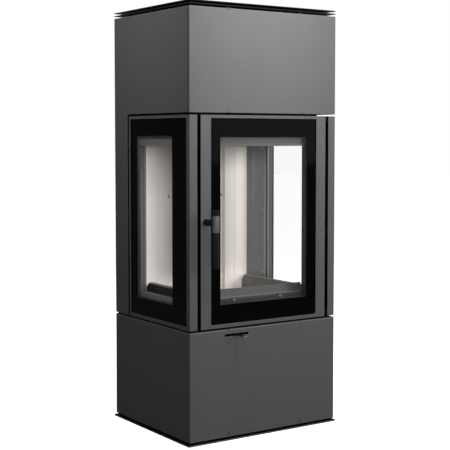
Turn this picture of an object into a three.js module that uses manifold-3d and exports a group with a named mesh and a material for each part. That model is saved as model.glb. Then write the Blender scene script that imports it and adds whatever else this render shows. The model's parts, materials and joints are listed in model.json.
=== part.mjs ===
// Free-standing wood stove with glass on three sides, in millimetres.
// X runs to the right as seen from the front, Y to the back and Z up.
// The origin is on the floor, under the middle of the casing. The door is at the front, at negative Y.
// Insets are counted inwards from the casing's outer side faces, setbacks backwards from its front face.
import * as THREE from 'three';
import { mergeVertices } from 'three/addons/utils/BufferGeometryUtils.js';
import Module from 'manifold-3d';

// Overall size and the general clearances
const stoveWidth = 575;
const stoveDepth = 478;
const casingSheet = 2;
const seatGap = 0.3;
const cutOverrun = 5;
const flueSides = 40;
const rodSides = 24;
const studSides = 10;

// Heights of the horizontal bands, from the floor up
const floorPlateThickness = 6;
const footRecess = 5;
const lowerCasingHeight = 347;
const grooveHeight = 5;
const windowBandHeight = 670;
const neckGapHeight = 6;
const upperCasingHeight = 325;
const louvreGap = 6.5;
const topPlateThickness = 3;

// Floor plate
const floorPlateSideOverhang = 6;
const floorPlateEndOverhang = 3;

// Chassis under the firebox and under the upper casing
const postLeg = 30;
const chassisSheet = 3;
const baseRailHeight = 30;
const supportRailHeight = 18;
const supportRailLedge = 25;
const neckRailInset = 43;
const neckRailThickness = 4;

// Casing panels
const upperFrontReturn = 12;
const lowerFrontReturn = 6;
const panelFlange = 20;
const upperFrontFlange = 9;
const rearLegWidth = 90.5;
const rearLegGap = 7;

// Half-round screw notches along the panels' edges
const notchRadius = 5.5;
const frontNotchSpacing = 285;
const sideNotchFrontShare = 0.2594;
const sideNotchBackShare = 0.567;
const legNotchHeight = 339;
const legNotchSpacing = 237;
const footHoleHeight = 9;

// Vents in the rear panel
const ventHeight = 8;
const ventPitch = 20;
const ventRowInset = 60;
const ventSideMargin = 37.2;
const ventColumnGap = 50;

// Top of the upper casing
const crownSheet = 3;
const spacerRadius = 7;
const spacerNeckRadius = 5;
const spacerHoleRadius = 5.3;
const spacerInset = 20;
const crownOpeningWidth = 400;
const crownOpeningDepth = 330;
const topHoleRadius = 95;

// Front corner columns
const columnWidth = 28.5;
const columnSideDepth = 9.4;
const columnSheet = 2;

// Front door
const doorGap = 12;
const doorStileWidth = 38.5;
const doorTopRail = 10;
const doorBottomRail = 12;
const doorSheet = 2;
const doorDepth = 16;
const glassThickness = 4;
const glassLip = 5;
const glassFaceGap = 0.2;
const doorSealThickness = 1.5;
const doorSealEdge = 0.5;
const retainerSheet = 2;
const retainerEdge = 2.5;
const retainerStileWidth = 36;
const retainerRailHeight = 60;
const retainerTabLength = 16;
const retainerTabHeight = 20;
const retainerTabEndDistance = 55;
const retainerStudRadius = 2.2;
const retainerStudHole = 2.6;
const retainerStudReach = 3;
const retainerPadHalf = 5;
const gasketWidth = 10;
const gasketEdgeDistance = 8.5;
const gasketRailDistance = 27.5;

// Door hinge
const hingePinRadius = 2.5;
const hingeHoleRadius = 2.8;
const hingeEarRadius = 4.5;
const hingeEarThickness = 4;
const hingeEndDistance = 9;
const hingePinOverrun = 3;

// Door handle and latch
const handleHeight = 337;
const handleReach = 56;
const stubRadius = 10;
const spindleRadius = 5;
const spindleHoleRadius = 5.3;
const gripRadius = 11;
const gripLength = 110;
const sleeveLength = 52;
const capLength = 17;
const sleeveAboveSpindle = 23;
const tenonRadius = 6;
const gripTenonLength = 95;
const capTenonLength = 9;
const tenonEndGap = 2;
const pawlThickness = 4;
const pawlBossRadius = 8.5;
const pawlWidth = 10;
const pawlLength = 16;
const keeperWidth = 13;
const keeperSheet = 3;
const keeperClearance = 0.6;
const keeperLipHeight = 16;
const keeperFootHeight = 8;
const keeperPawlGap = 0.6;

// Side glazing
const sideFrameStile = 9;
const sideFrameTopRail = 10;
const sideFrameBottomRail = 12;
const sideFrameJoint = 0.6;
const sideFrameSheet = 2;
const sideGlassLipGap = 1.9;
const sideGlassEdgeGap = 0.8;
const sideSealWidth = 8;
const sideSealStileDistance = 3.5;
const sideSealRailDistance = 24;

// Firebox body
const fireboxSheet = 4;
const fireboxSideInset = 12;
const fireboxFrontSetback = 20;
const fireboxBackDistance = 28;
const frontOpeningInset = 95;
const frontOpeningSill = 67;
const sideOpeningSill = 85;
const openingLintel = 98;
const frontReturnDepth = 34;
const sideOpeningSetback = 105;
const sideOpeningBackDistance = 146.5;
const sideReturnDepth = 21.5;
const floorAirOpeningWidth = 160;
const floorAirOpeningDepth = 50;
const floorAirOpeningSetback = 80;

// Hearth
const hearthTopHeight = 52;
const hearthThickness = 12;
const hearthLedgeWidth = 14;
const hearthLedgeThickness = 4;
const hearthCentreAhead = 4;
const grateWidth = 236;
const grateDepth = 176;
const grateThickness = 5.5;
const grateSeatWidth = 10;
const grateSlotCount = 9;
const grateSlotWidth = 9;
const grateSlotLength = 132;
const gratePlay = 1;
const hearthStoneInset = 81;
const hearthStoneThickness = 15;
const hearthStoneHeight = 52.5;
const hearthStoneSetback = 69;
const hearthStoneBevel = 17;
const ashPanWidth = 212;
const ashPanDepth = 150;
const ashPanHeight = 32;
const ashPanSheet = 1.5;

// Back lining and the steel panels beside it
const liningInset = 73.6;
const liningTopDistance = 83;
const liningThickness = 37.7;
const liningCentreStep = 18;
const liningOuterWidth = 54;
const liningInnerWidth = 41;
const liningJoint = 0.8;
const cornerPanelSheet = 3;
const cornerPanelTopDistance = 88;
const cornerPanelFootInset = 20;
const cornerPanelBendInset = 63.5;
const cornerPanelBendRun = 50.7;
const cornerPanelEndReveal = 1;
const cornerBoltRadius = 3.5;
const cornerBoltReach = 8;
const cornerBoltFootDistance = 62;
const cornerBoltTopDistance = 20;
const cornerBoltPositionShare = 0.44;

// Front log guard
const guardSheet = 3;
const guardFootSetback = 25;
const guardFootRise = 3.25;
const guardCreaseSetback = 59;
const guardCreaseRise = 17.5;
const guardTopSetback = 62;
const guardTopRise = 46.5;
const guardBoltSpacing = 186;
const guardBoltRadius = 4.5;
const guardBoltReach = 8;
const guardBoltRise = 15;
const guardBoltSetback = 46.2;

// Baffle
const baffleThickness = 20;
const baffleTopDistance = 48;
const baffleSetback = 170;
const baffleLedgeWidth = 20;
const baffleLedgeThickness = 4;

// Flue
const flueRadius = 75;
const fluePipeSheet = 2;
const flueCollarWall = 6;
const flueCollarFlangeRadius = 90;
const flueCollarFlangeThickness = 6;
const flueCollarHeight = 57;
const fluePipeRecess = 3;

// Air supply and its control
const airBoxWidth = 420;
const airBoxDepth = 260;
const airBoxHeight = 140;
const airBoxSetback = 60;
const airBoxSheet = 2;
const airInletRadius = 50;
const airInletSheet = 2;
const airInletPlay = 2;
const airSlotLength = 91.5;
const airSlotHeight = 7.5;
const airSlotStart = 130.5;
const airSlotDrop = 20.5;
const airSlideWidth = 124;
const airSlideHeight = 36;
const airSlideThickness = 3;
const airWindowWidth = 50;
const airPortOffset = 8;
const airWindowHeight = 16;
const airGuideThickness = 3;
const airGuideLap = 4;
const airGuideLength = 170;
const leverWidth = 12;
const leverThickness = 3;
const leverReach = 51;
const leverFootHeight = 24;
const knobLength = 12;
const knobWidth = 15;
const knobThickness = 7;

// Levels, worked out from the bands
const lowerCasingBottom = floorPlateThickness + footRecess;
const lowerCasingTop = lowerCasingBottom + lowerCasingHeight;
const bandBottom = lowerCasingTop + grooveHeight;
const bandTop = bandBottom + windowBandHeight;
const upperCasingBottom = bandTop + neckGapHeight;
const upperCasingTop = upperCasingBottom + upperCasingHeight;
const louvrePlateBottom = upperCasingTop + louvreGap;
const louvrePlateTop = louvrePlateBottom + topPlateThickness;
const topPlateBottom = louvrePlateTop + louvreGap;
const stoveHeight = topPlateBottom + topPlateThickness;
const hearthTop = bandBottom + hearthTopHeight;
const hearthBottom = hearthTop - hearthThickness;
const openingTop = bandTop - openingLintel;
const frontSill = bandBottom + frontOpeningSill;
const sideSill = bandBottom + sideOpeningSill;
const baffleTop = bandTop - baffleTopDistance;
const baffleBottom = baffleTop - baffleThickness;
const sides = [-1, 1];

// Places across the stove, worked out from the casing
const sideX = (side, inset) => side * (stoveWidth / 2 - inset);
const frontY = (setback) => setback - stoveDepth / 2;
const backY = (distance) => stoveDepth / 2 - distance;
const fireboxBackSetback = stoveDepth - fireboxBackDistance;
const doorInset = columnWidth + doorGap;
const doorWindowInset = doorInset + doorStileWidth;
const doorGlassInset = doorWindowInset - glassLip;
const handleX = sideX(-1, doorInset + doorStileWidth / 2);
const handleZ = bandBottom + handleHeight;
const hingeX = sideX(1, doorInset - doorGap / 2);
const hingeY = frontY(hingeEarRadius);
const airSlotX = sideX(-1, airSlotStart + airSlotLength / 2);
const airSlotZ = lowerCasingTop - airSlotDrop;
const innerWallInset = fireboxSideInset + fireboxSheet;
const sideReturnInset = innerWallInset + sideReturnDepth;
const liningBackSetback = fireboxBackSetback - fireboxSheet - seatGap;
const liningFaceSetback = liningBackSetback - liningThickness;

// Finishes
function finish(color, roughness, metalness) {
  return new THREE.MeshStandardMaterial({ color, roughness, metalness });
}

const greyPaint = () => finish(0x6c6e71, 0.5, 0.35);
const darkPaint = () => finish(0x2b2c2e, 0.6, 0.3);
const blackPaint = () => finish(0x121213, 0.55, 0.2);
const stoveSteel = () => finish(0x55585b, 0.6, 0.5);
const castIron = () => finish(0x2a2a2b, 0.7, 0.5);
const creamCeramic = () => finish(0xd4d0c6, 0.85, 0);
const brownStone = () => finish(0x5d544b, 0.9, 0);
const printedGlass = () => finish(0x0a0a0b, 0.08, 0);
const glassRope = () => finish(0x3a3a39, 0.95, 0);
const brushedSteel = () => finish(0x6a6b6d, 0.35, 0.9);
const zincSteel = () => finish(0xa4a6a8, 0.4, 0.9);

const wasm = await Module();
wasm.setup();

// A closed mesh as a solid that can be cut and joined
function solidOf(geometry) {
  const bare = geometry.index ? geometry.toNonIndexed() : geometry.clone();
  bare.deleteAttribute('normal');
  bare.deleteAttribute('uv');
  const merged = mergeVertices(bare);
  const vertProperties = new Float32Array(merged.attributes.position.array);
  const triVerts = new Uint32Array(merged.index.array);
  return new wasm.Manifold(new wasm.Mesh({ numProp: 3, vertProperties, triVerts }));
}

function join(...solids) {
  return solids.flat().reduce((whole, next) => whole.add(next));
}

function cut(solid, ...tools) {
  return tools.flat().reduce((whole, tool) => whole.subtract(tool), solid);
}

function block(xa, xb, ya, yb, za, zb) {
  const geometry = new THREE.BoxGeometry(Math.abs(xb - xa), Math.abs(yb - ya), Math.abs(zb - za));
  geometry.translate((xa + xb) / 2, (ya + yb) / 2, (za + zb) / 2);
  return solidOf(geometry);
}

function uprightRod(radius, x, y, za, zb, count = rodSides) {
  const geometry = new THREE.CylinderGeometry(radius, radius, Math.abs(zb - za), count);
  geometry.rotateX(Math.PI / 2);
  geometry.translate(x, y, (za + zb) / 2);
  return solidOf(geometry);
}

function deepRod(radius, x, z, ya, yb, count = rodSides) {
  const geometry = new THREE.CylinderGeometry(radius, radius, Math.abs(yb - ya), count);
  geometry.translate(x, (ya + yb) / 2, z);
  return solidOf(geometry);
}

function crossRod(radius, y, z, xa, xb, count = rodSides) {
  const geometry = new THREE.CylinderGeometry(radius, radius, Math.abs(xb - xa), count);
  geometry.rotateZ(Math.PI / 2);
  geometry.translate((xa + xb) / 2, y, z);
  return solidOf(geometry);
}

function shapeOf(points) {
  return new THREE.Shape(points.map(([u, v]) => new THREE.Vector2(u, v)));
}

// An outline in X and Y, raised from za to zb
function uprightProfile(points, za, zb) {
  const geometry = new THREE.ExtrudeGeometry(shapeOf(points), { depth: zb - za, bevelEnabled: false });
  geometry.translate(0, 0, za);
  return solidOf(geometry);
}

// An outline in Y and Z, run across from xa to xb
function crossProfile(points, xa, xb) {
  const geometry = new THREE.ExtrudeGeometry(shapeOf(points), { depth: xb - xa, bevelEnabled: false });
  const turn = new THREE.Matrix4().makeBasis(
    new THREE.Vector3(0, 1, 0),
    new THREE.Vector3(0, 0, 1),
    new THREE.Vector3(1, 0, 0),
  );
  geometry.applyMatrix4(turn);
  geometry.translate(xa, 0, 0);
  return solidOf(geometry);
}

// The outline of a sheet bent along a line of points; its thickness lies to the right of the way along
function bentSheetOutline(line, thickness) {
  const points = line.map(([u, v]) => new THREE.Vector2(u, v));
  const normals = [];
  for (let i = 0; i + 1 < points.length; i += 1) {
    const along = points[i + 1].clone().sub(points[i]).normalize();
    normals.push(new THREE.Vector2(along.y, -along.x));
  }
  const offset = points.map((point, i) => {
    const before = normals[Math.max(i - 1, 0)];
    const after = normals[Math.min(i, normals.length - 1)];
    const mitre = before.clone().add(after).normalize();
    return point.clone().addScaledVector(mitre, thickness / mitre.dot(after));
  });
  return [...points, ...offset.reverse()].map((point) => [point.x, point.y]);
}

const stove = new THREE.Group();

function addPiece(name, solid, material) {
  const mesh = solid.getMesh();
  const geometry = new THREE.BufferGeometry();
  geometry.setAttribute('position', new THREE.BufferAttribute(new Float32Array(mesh.vertProperties), 3));
  geometry.setIndex(new THREE.BufferAttribute(new Uint32Array(mesh.triVerts), 1));
  geometry.computeVertexNormals();
  const piece = new THREE.Mesh(geometry, material);
  piece.name = name;
  stove.add(piece);
}

// Floor plate
function floorPlate() {
  return block(
    sideX(-1, -floorPlateSideOverhang), sideX(1, -floorPlateSideOverhang),
    frontY(-floorPlateEndOverhang), backY(-floorPlateEndOverhang),
    0, floorPlateThickness,
  );
}

// Chassis: one welded frame of corner posts, a ring on the floor plate and a ledge ring under the firebox
const postInset = casingSheet + seatGap;
const postFrontSetback = lowerFrontReturn + seatGap + casingSheet + seatGap;
const railInset = postInset + chassisSheet;
const railFrontSetback = postFrontSetback + chassisSheet;
const railBackDistance = postInset + chassisSheet;

function chassisPosts() {
  const bottom = lowerCasingBottom + seatGap;
  const top = lowerCasingTop - seatGap;
  return join(sides.map((side) => {
    const outer = sideX(side, postInset);
    const thin = sideX(side, postInset + chassisSheet);
    const wide = sideX(side, postInset + postLeg);
    const front = frontY(postFrontSetback);
    const back = backY(postInset);
    return join(
      block(outer, thin, front, front + postLeg, bottom, top),
      block(outer, wide, front, front + chassisSheet, bottom, top),
      block(outer, thin, back - postLeg, back, bottom, top),
      block(outer, wide, back - chassisSheet, back, bottom, top),
    );
  }));
}

// A ring of flat bars between the posts
function chassisRing(frontSetback, width, bottom, top) {
  const [front, back] = [frontY(frontSetback), backY(railBackDistance)];
  const [left, right] = sides.map((side) => sideX(side, railInset));
  return cut(
    block(left, right, front, back, bottom, top),
    block(left + width, right - width, front + width, back - width, bottom - cutOverrun, top + cutOverrun),
  );
}

// The upper ring keeps clear of the door; it has a ledge for the firebox
function chassisFrame() {
  const foot = floorPlateThickness + seatGap;
  const ledge = bandBottom - seatGap;
  return join(
    chassisPosts(),
    chassisRing(railFrontSetback, chassisSheet, foot, foot + baseRailHeight),
    chassisRing(fireboxFrontSetback, chassisSheet, ledge - supportRailHeight, ledge),
    chassisRing(fireboxFrontSetback, supportRailLedge, ledge - chassisSheet, ledge),
  );
}

// Notches in the edges of the casing panels
const frontNotchPlaces = sides.map((side) => side * frontNotchSpacing / 2);
const sideNotchPlaces = [sideNotchFrontShare, sideNotchBackShare].map((share) => frontY(share * stoveDepth));
const sideTopNotchY = 0;
const legNotchPlaces = [legNotchHeight, legNotchHeight + legNotchSpacing].map((rise) => bandBottom + rise);
const legFront = stoveDepth - rearLegWidth;

function frontNotch(x, z) {
  return deepRod(notchRadius, x, z, frontY(-cutOverrun), frontY(casingSheet), studSides);
}

function sideNotch(side, y, z) {
  return crossRod(notchRadius, y, z, sideX(side, -cutOverrun), sideX(side, casingSheet), studSides);
}

// A front panel: a face with bent side returns and short flanges along its top and bottom edges
function frontPanel(bottom, top, sideReturn, flangeInset, flangeDepth) {
  const face = block(sideX(-1, 0), sideX(1, 0), frontY(0), frontY(casingSheet), bottom, top);
  const returns = sides.map((side) =>
    block(sideX(side, 0), sideX(side, casingSheet), frontY(0), frontY(sideReturn), bottom, top));
  const flanges = [[bottom, bottom + casingSheet], [top - casingSheet, top]].map(([za, zb]) =>
    block(sideX(-1, flangeInset), sideX(1, flangeInset), frontY(0), frontY(flangeDepth), za, zb));
  return join(face, returns, flanges);
}

function lowerFrontPanel() {
  const flangeInset = postInset + postLeg + seatGap;
  const flangeDepth = railFrontSetback - seatGap;
  const panel = frontPanel(lowerCasingBottom, lowerCasingTop, lowerFrontReturn, flangeInset, flangeDepth);
  const slot = block(
    airSlotX - airSlotLength / 2, airSlotX + airSlotLength / 2,
    frontY(-cutOverrun), frontY(casingSheet + cutOverrun),
    airSlotZ - airSlotHeight / 2, airSlotZ + airSlotHeight / 2,
  );
  const notches = frontNotchPlaces.flatMap((x) =>
    [frontNotch(x, lowerCasingTop), frontNotch(x, lowerCasingBottom + footHoleHeight)]);
  return cut(panel, slot, notches);
}

function upperFrontPanel() {
  const flangeInset = panelFlange + seatGap;
  const panel = frontPanel(
    upperCasingBottom, upperCasingTop, upperFrontReturn, flangeInset, upperFrontFlange,
  );
  const notches = frontNotchPlaces.flatMap((x) =>
    [frontNotch(x, upperCasingBottom), frontNotch(x, upperCasingTop)]);
  return cut(panel, notches);
}

function lowerSidePanel(side) {
  const front = lowerFrontReturn + seatGap;
  const outer = sideX(side, 0);
  const [bottom, top] = [lowerCasingBottom, lowerCasingTop];
  const face = block(outer, sideX(side, casingSheet), frontY(front), backY(0), bottom, top);
  const flangeStarts = [frontY(front), backY(casingSheet)];
  const flanges = flangeStarts.map((y) =>
    block(outer, sideX(side, panelFlange), y, y + casingSheet, bottom, top));
  const notches = sideNotchPlaces.map((y) => sideNotch(side, y, lowerCasingTop));
  return cut(join(face, flanges), notches);
}

// A side panel: the upper casing's side, with a rear leg that runs down beside the glass
function tallSidePanel(side) {
  const front = upperFrontReturn + seatGap;
  const outer = sideX(side, 0);
  const inner = sideX(side, casingSheet);
  const flange = sideX(side, panelFlange);
  const face = block(outer, inner, frontY(front), backY(0), upperCasingBottom, upperCasingTop);
  const leg = block(outer, inner, frontY(legFront), backY(0), bandBottom, upperCasingTop);
  const frontFlange = block(
    outer, flange, frontY(front), frontY(front + casingSheet), upperCasingBottom, upperCasingTop,
  );
  const backFlange = block(outer, flange, backY(casingSheet), backY(0), bandBottom, upperCasingTop);
  const legFlange = block(
    outer, sideX(side, fireboxSideInset - seatGap),
    frontY(legFront), frontY(legFront + casingSheet), bandBottom, bandTop,
  );
  const notches = [
    ...sideNotchPlaces.map((y) => sideNotch(side, y, upperCasingBottom)),
    sideNotch(side, sideTopNotchY, upperCasingTop),
    ...legNotchPlaces.map((z) => sideNotch(side, frontY(legFront), z)),
  ];
  return cut(join(face, leg, frontFlange, backFlange, legFlange), notches);
}

// The rear panel: one sheet between the side panels' rear flanges, with two groups of vents and the air inlet
function rearPanel() {
  const inset = panelFlange + seatGap;
  const sheet = block(
    sideX(-1, inset), sideX(1, inset), backY(casingSheet), backY(0), lowerCasingBottom, upperCasingTop,
  );
  const ventRun = stoveWidth - 2 * (inset + ventSideMargin);
  const ventLength = (ventRun - 2 * ventColumnGap) / 3;
  const vents = [];
  for (const centre of [bandTop + ventRowInset, lowerCasingTop - ventRowInset]) {
    for (const column of [-1, 0, 1]) {
      for (const row of [-1, 0, 1]) {
        const x = column * (ventLength + ventColumnGap);
        const z = centre + row * ventPitch;
        const clearOfInlet = column !== 0 || centre > bandTop;
        if (clearOfInlet) {
          vents.push(block(
            x - ventLength / 2, x + ventLength / 2,
            backY(casingSheet + cutOverrun), backY(-cutOverrun),
            z - ventHeight / 2, z + ventHeight / 2,
          ));
        }
      }
    }
  }
  const inlet = deepRod(airInletRadius + airInletPlay, 0, airBoxCentreZ, backY(casingSheet + cutOverrun),
    backY(-cutOverrun));
  return cut(sheet, vents, inlet);
}

// The horizontal plates inside the upper casing's bottom and top
function innerPlate(bottom, thickness) {
  const top = bottom + thickness;
  const inset = casingSheet + seatGap;
  const tabInset = panelFlange + seatGap;
  const shoulder = frontY(upperFrontReturn + seatGap + casingSheet + seatGap);
  return join(
    block(sideX(-1, inset), sideX(1, inset), shoulder, backY(inset), bottom, top),
    block(sideX(-1, tabInset), sideX(1, tabInset), frontY(inset), shoulder, bottom, top),
  );
}

const basePlateBottom = upperCasingBottom + casingSheet + seatGap;
const crownTop = upperCasingTop - casingSheet - seatGap;

function neckBars() {
  const bottom = bandTop + seatGap;
  const top = basePlateBottom;
  const front = frontY(neckRailInset);
  const back = backY(neckRailInset);
  return cut(
    block(sideX(-1, neckRailInset), sideX(1, neckRailInset), front, back, bottom, top),
    block(
      sideX(-1, neckRailInset + neckRailThickness), sideX(1, neckRailInset + neckRailThickness),
      front + neckRailThickness, back - neckRailThickness, bottom - cutOverrun, top + cutOverrun,
    ),
  );
}

// The upper casing's base: a plate with a low rim welded under it, which stands on the firebox roof
function upperBase() {
  const top = basePlateBottom + crownSheet;
  const hole = uprightRod(topHoleRadius, 0, 0, basePlateBottom - cutOverrun, top + cutOverrun, flueSides);
  return join(cut(innerPlate(basePlateBottom, crownSheet), hole), neckBars());
}

function crownPlate() {
  const bottom = crownTop - crownSheet;
  const opening = block(
    -crownOpeningWidth / 2, crownOpeningWidth / 2, -crownOpeningDepth / 2, crownOpeningDepth / 2,
    bottom - cutOverrun, crownTop + cutOverrun,
  );
  return cut(innerPlate(bottom, crownSheet), opening);
}

// Three spacers stand on the crown plate. The louvre plate lies on their shoulders, the top plate on their ends
const spacerPlaces = [
  [frontNotchPlaces[0], frontY(spacerInset)],
  [frontNotchPlaces[1], frontY(spacerInset)],
  [0, backY(spacerInset)],
];

function louvreSpacer([x, y]) {
  const bottom = crownTop + seatGap;
  return join(
    uprightRod(spacerRadius, x, y, bottom, louvrePlateBottom - seatGap, studSides),
    uprightRod(spacerNeckRadius, x, y, bottom, topPlateBottom - seatGap, studSides),
  );
}

function coverPlate(bottom) {
  const top = bottom + topPlateThickness;
  const plate = block(sideX(-1, 0), sideX(1, 0), frontY(0), backY(0), bottom, top);
  return cut(plate, uprightRod(topHoleRadius, 0, 0, bottom - cutOverrun, top + cutOverrun, flueSides));
}

function louvrePlate() {
  const holes = spacerPlaces.map(([x, y]) => uprightRod(
    spacerHoleRadius, x, y, louvrePlateBottom - cutOverrun, louvrePlateTop + cutOverrun, studSides,
  ));
  return cut(coverPlate(louvrePlateBottom), holes);
}

// Flue collar on the firebox roof, and the pipe that stands on it
const flueCollarBottom = bandTop + seatGap;
const flueCollarOuter = flueRadius - fluePipeSheet - seatGap;
const flueBore = flueCollarOuter - flueCollarWall;
const flueFlangeTop = flueCollarBottom + flueCollarFlangeThickness;

function flueCollar() {
  const top = flueCollarBottom + flueCollarHeight;
  return cut(
    join(
      uprightRod(flueCollarOuter, 0, 0, flueCollarBottom, top, flueSides),
      uprightRod(flueCollarFlangeRadius, 0, 0, flueCollarBottom, flueFlangeTop, flueSides),
    ),
    uprightRod(flueBore, 0, 0, flueCollarBottom - cutOverrun, top + cutOverrun, flueSides),
  );
}

function fluePipe() {
  const bottom = flueFlangeTop + seatGap;
  const top = stoveHeight - fluePipeRecess;
  return cut(
    uprightRod(flueRadius, 0, 0, bottom, top, flueSides),
    uprightRod(flueRadius - fluePipeSheet, 0, 0, bottom - cutOverrun, top + cutOverrun, flueSides),
  );
}

// Front corner column: an open channel standing on the firebox's front plate
function column(side) {
  const outer = sideX(side, 0);
  return join(
    block(outer, sideX(side, columnWidth), frontY(0), frontY(columnSheet), bandBottom, bandTop),
    block(outer, sideX(side, columnSheet), frontY(0), frontY(columnSideDepth), bandBottom, bandTop),
    block(sideX(side, columnWidth - columnSheet), sideX(side, columnWidth),
      frontY(0), frontY(fireboxFrontSetback - seatGap), bandBottom, bandTop),
  );
}

// A rectangular ring in the plane of the front, lying between two setbacks
function frontRing(outerInset, innerInset, outerZ, innerZ, ya, yb) {
  const [za, zb] = outerZ;
  const [ia, ib] = innerZ;
  return cut(
    block(sideX(-1, outerInset), sideX(1, outerInset), ya, yb, za, zb),
    block(sideX(-1, innerInset), sideX(1, innerInset), ya - cutOverrun, yb + cutOverrun, ia, ib),
  );
}

// A rectangular ring in the plane of a side, lying between two insets
function sideRing(side, outerY, innerY, outerZ, innerZ, insetA, insetB) {
  return cut(
    block(sideX(side, insetA), sideX(side, insetB), outerY[0], outerY[1], outerZ[0], outerZ[1]),
    block(sideX(side, insetA - cutOverrun), sideX(side, insetB + cutOverrun),
      innerY[0], innerY[1], innerZ[0], innerZ[1]),
  );
}

const grow = ([low, high], by) => [low - by, high + by];

// Firebox body: welded plates, with returns round the three openings and ledges for what it carries
const bandZ = [bandBottom, bandTop];
const frontOpeningZ = [frontSill, openingTop];
const sideOpeningZ = [sideSill, openingTop];
const sideOpeningY = [frontY(sideOpeningSetback), backY(sideOpeningBackDistance)];

function fireboxFront() {
  const front = frontY(fireboxFrontSetback);
  const inner = front + fireboxSheet;
  const plate = frontRing(fireboxSideInset, frontOpeningInset, bandZ, frontOpeningZ, front, inner);
  const returns = frontRing(
    frontOpeningInset - fireboxSheet, frontOpeningInset,
    grow(frontOpeningZ, fireboxSheet), frontOpeningZ, front, inner + frontReturnDepth,
  );
  return join(plate, returns);
}

function fireboxSide(side) {
  const wallY = [frontY(fireboxFrontSetback), frontY(fireboxBackSetback)];
  const plate = sideRing(side, wallY, sideOpeningY, bandZ, sideOpeningZ, fireboxSideInset, innerWallInset);
  const returns = sideRing(
    side, grow(sideOpeningY, fireboxSheet), sideOpeningY,
    grow(sideOpeningZ, fireboxSheet), sideOpeningZ, fireboxSideInset, sideReturnInset,
  );
  const hearthLedge = block(
    sideX(side, fireboxSideInset), sideX(side, innerWallInset + hearthLedgeWidth),
    wallY[0], wallY[1],
    hearthBottom - seatGap - hearthLedgeThickness, hearthBottom - seatGap,
  );
  const baffleLedge = block(
    sideX(side, fireboxSideInset), sideX(side, innerWallInset + baffleLedgeWidth),
    frontY(baffleSetback), wallY[1],
    baffleBottom - seatGap - baffleLedgeThickness, baffleBottom - seatGap,
  );
  return join(plate, returns, hearthLedge, baffleLedge);
}

function fireboxBody() {
  const [left, right] = [sideX(-1, fireboxSideInset), sideX(1, fireboxSideInset)];
  const [front, back] = [frontY(fireboxFrontSetback), frontY(fireboxBackSetback)];
  const backWall = block(left, right, back - fireboxSheet, back, bandBottom, bandTop);
  const floor = block(left, right, front, back, bandBottom, bandBottom + fireboxSheet);
  const roof = block(left, right, front, back, bandTop - fireboxSheet, bandTop);
  const airOpening = block(
    -floorAirOpeningWidth / 2, floorAirOpeningWidth / 2,
    frontY(floorAirOpeningSetback), frontY(floorAirOpeningSetback + floorAirOpeningDepth),
    bandBottom - cutOverrun, bandBottom + fireboxSheet + cutOverrun,
  );
  const underRoof = bandTop - fireboxSheet - cutOverrun;
  const flueHole = uprightRod(flueBore, 0, 0, underRoof, bandTop + cutOverrun, flueSides);
  return cut(join(backWall, floor, roof, fireboxFront(), sides.map(fireboxSide)), airOpening, flueHole);
}

// Hearth
const hearthCentreY = -hearthCentreAhead;
const hearthX = (side) => sideX(side, innerWallInset + seatGap);

function centredBlock(width, depth, centreY, za, zb) {
  return block(-width / 2, width / 2, centreY - depth / 2, centreY + depth / 2, za, zb);
}

function hearthPlate() {
  const front = frontY(fireboxFrontSetback + fireboxSheet + seatGap);
  const plate = block(hearthX(-1), hearthX(1), front, frontY(liningBackSetback), hearthBottom, hearthTop);
  const step = hearthTop - grateThickness - seatGap;
  const seat = centredBlock(grateWidth + 2 * gratePlay, grateDepth + 2 * gratePlay, hearthCentreY,
    step, hearthTop + cutOverrun);
  const shaft = centredBlock(grateWidth - 2 * grateSeatWidth, grateDepth - 2 * grateSeatWidth, hearthCentreY,
    hearthBottom - cutOverrun, hearthTop + cutOverrun);
  return cut(plate, seat, shaft);
}

function grate() {
  const bottom = hearthTop - grateThickness;
  const plate = centredBlock(grateWidth, grateDepth, hearthCentreY, bottom, hearthTop);
  const pitch = (grateWidth - 2 * grateSeatWidth) / grateSlotCount;
  const slots = [];
  for (let i = 0; i < grateSlotCount; i += 1) {
    const x = (i - (grateSlotCount - 1) / 2) * pitch;
    slots.push(block(
      x - grateSlotWidth / 2, x + grateSlotWidth / 2,
      hearthCentreY - grateSlotLength / 2, hearthCentreY + grateSlotLength / 2,
      bottom - cutOverrun, hearthTop + cutOverrun,
    ));
  }
  return cut(plate, slots);
}

function ashPan() {
  const bottom = bandBottom + fireboxSheet + seatGap;
  return cut(
    centredBlock(ashPanWidth, ashPanDepth, hearthCentreY, bottom, bottom + ashPanHeight),
    centredBlock(ashPanWidth - 2 * ashPanSheet, ashPanDepth - 2 * ashPanSheet, hearthCentreY,
      bottom + ashPanSheet, bottom + ashPanHeight + cutOverrun),
  );
}

const stoneBottom = hearthTop + seatGap;
const stoneTop = hearthTop + hearthStoneHeight;

// A stone stands on edge beside the grate; the upper corner of its rear end is bevelled
function hearthStone(side) {
  const [front, back] = [frontY(hearthStoneSetback), frontY(liningFaceSetback) - seatGap];
  const outline = [
    [front, stoneBottom], [back, stoneBottom], [back, stoneTop - hearthStoneBevel],
    [back - hearthStoneBevel, stoneTop], [front, stoneTop],
  ];
  const places = [sideX(side, hearthStoneInset), sideX(side, hearthStoneInset + hearthStoneThickness)];
  return crossProfile(outline, Math.min(...places), Math.max(...places));
}

// Back lining: two slabs each side of a wide one that is set further back
const liningTop = bandTop - liningTopDistance;
const liningInnerInset = liningInset + liningOuterWidth;
const liningCentreInset = liningInnerInset + liningInnerWidth;

function liningSlab(xa, xb, faceSetback) {
  return block(xa, xb, frontY(faceSetback), frontY(liningBackSetback), stoneBottom, liningTop);
}

function outerLining(side) {
  const [near, far] = [liningInset, liningInnerInset - liningJoint / 2];
  return liningSlab(sideX(side, near), sideX(side, far), liningFaceSetback);
}

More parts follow.
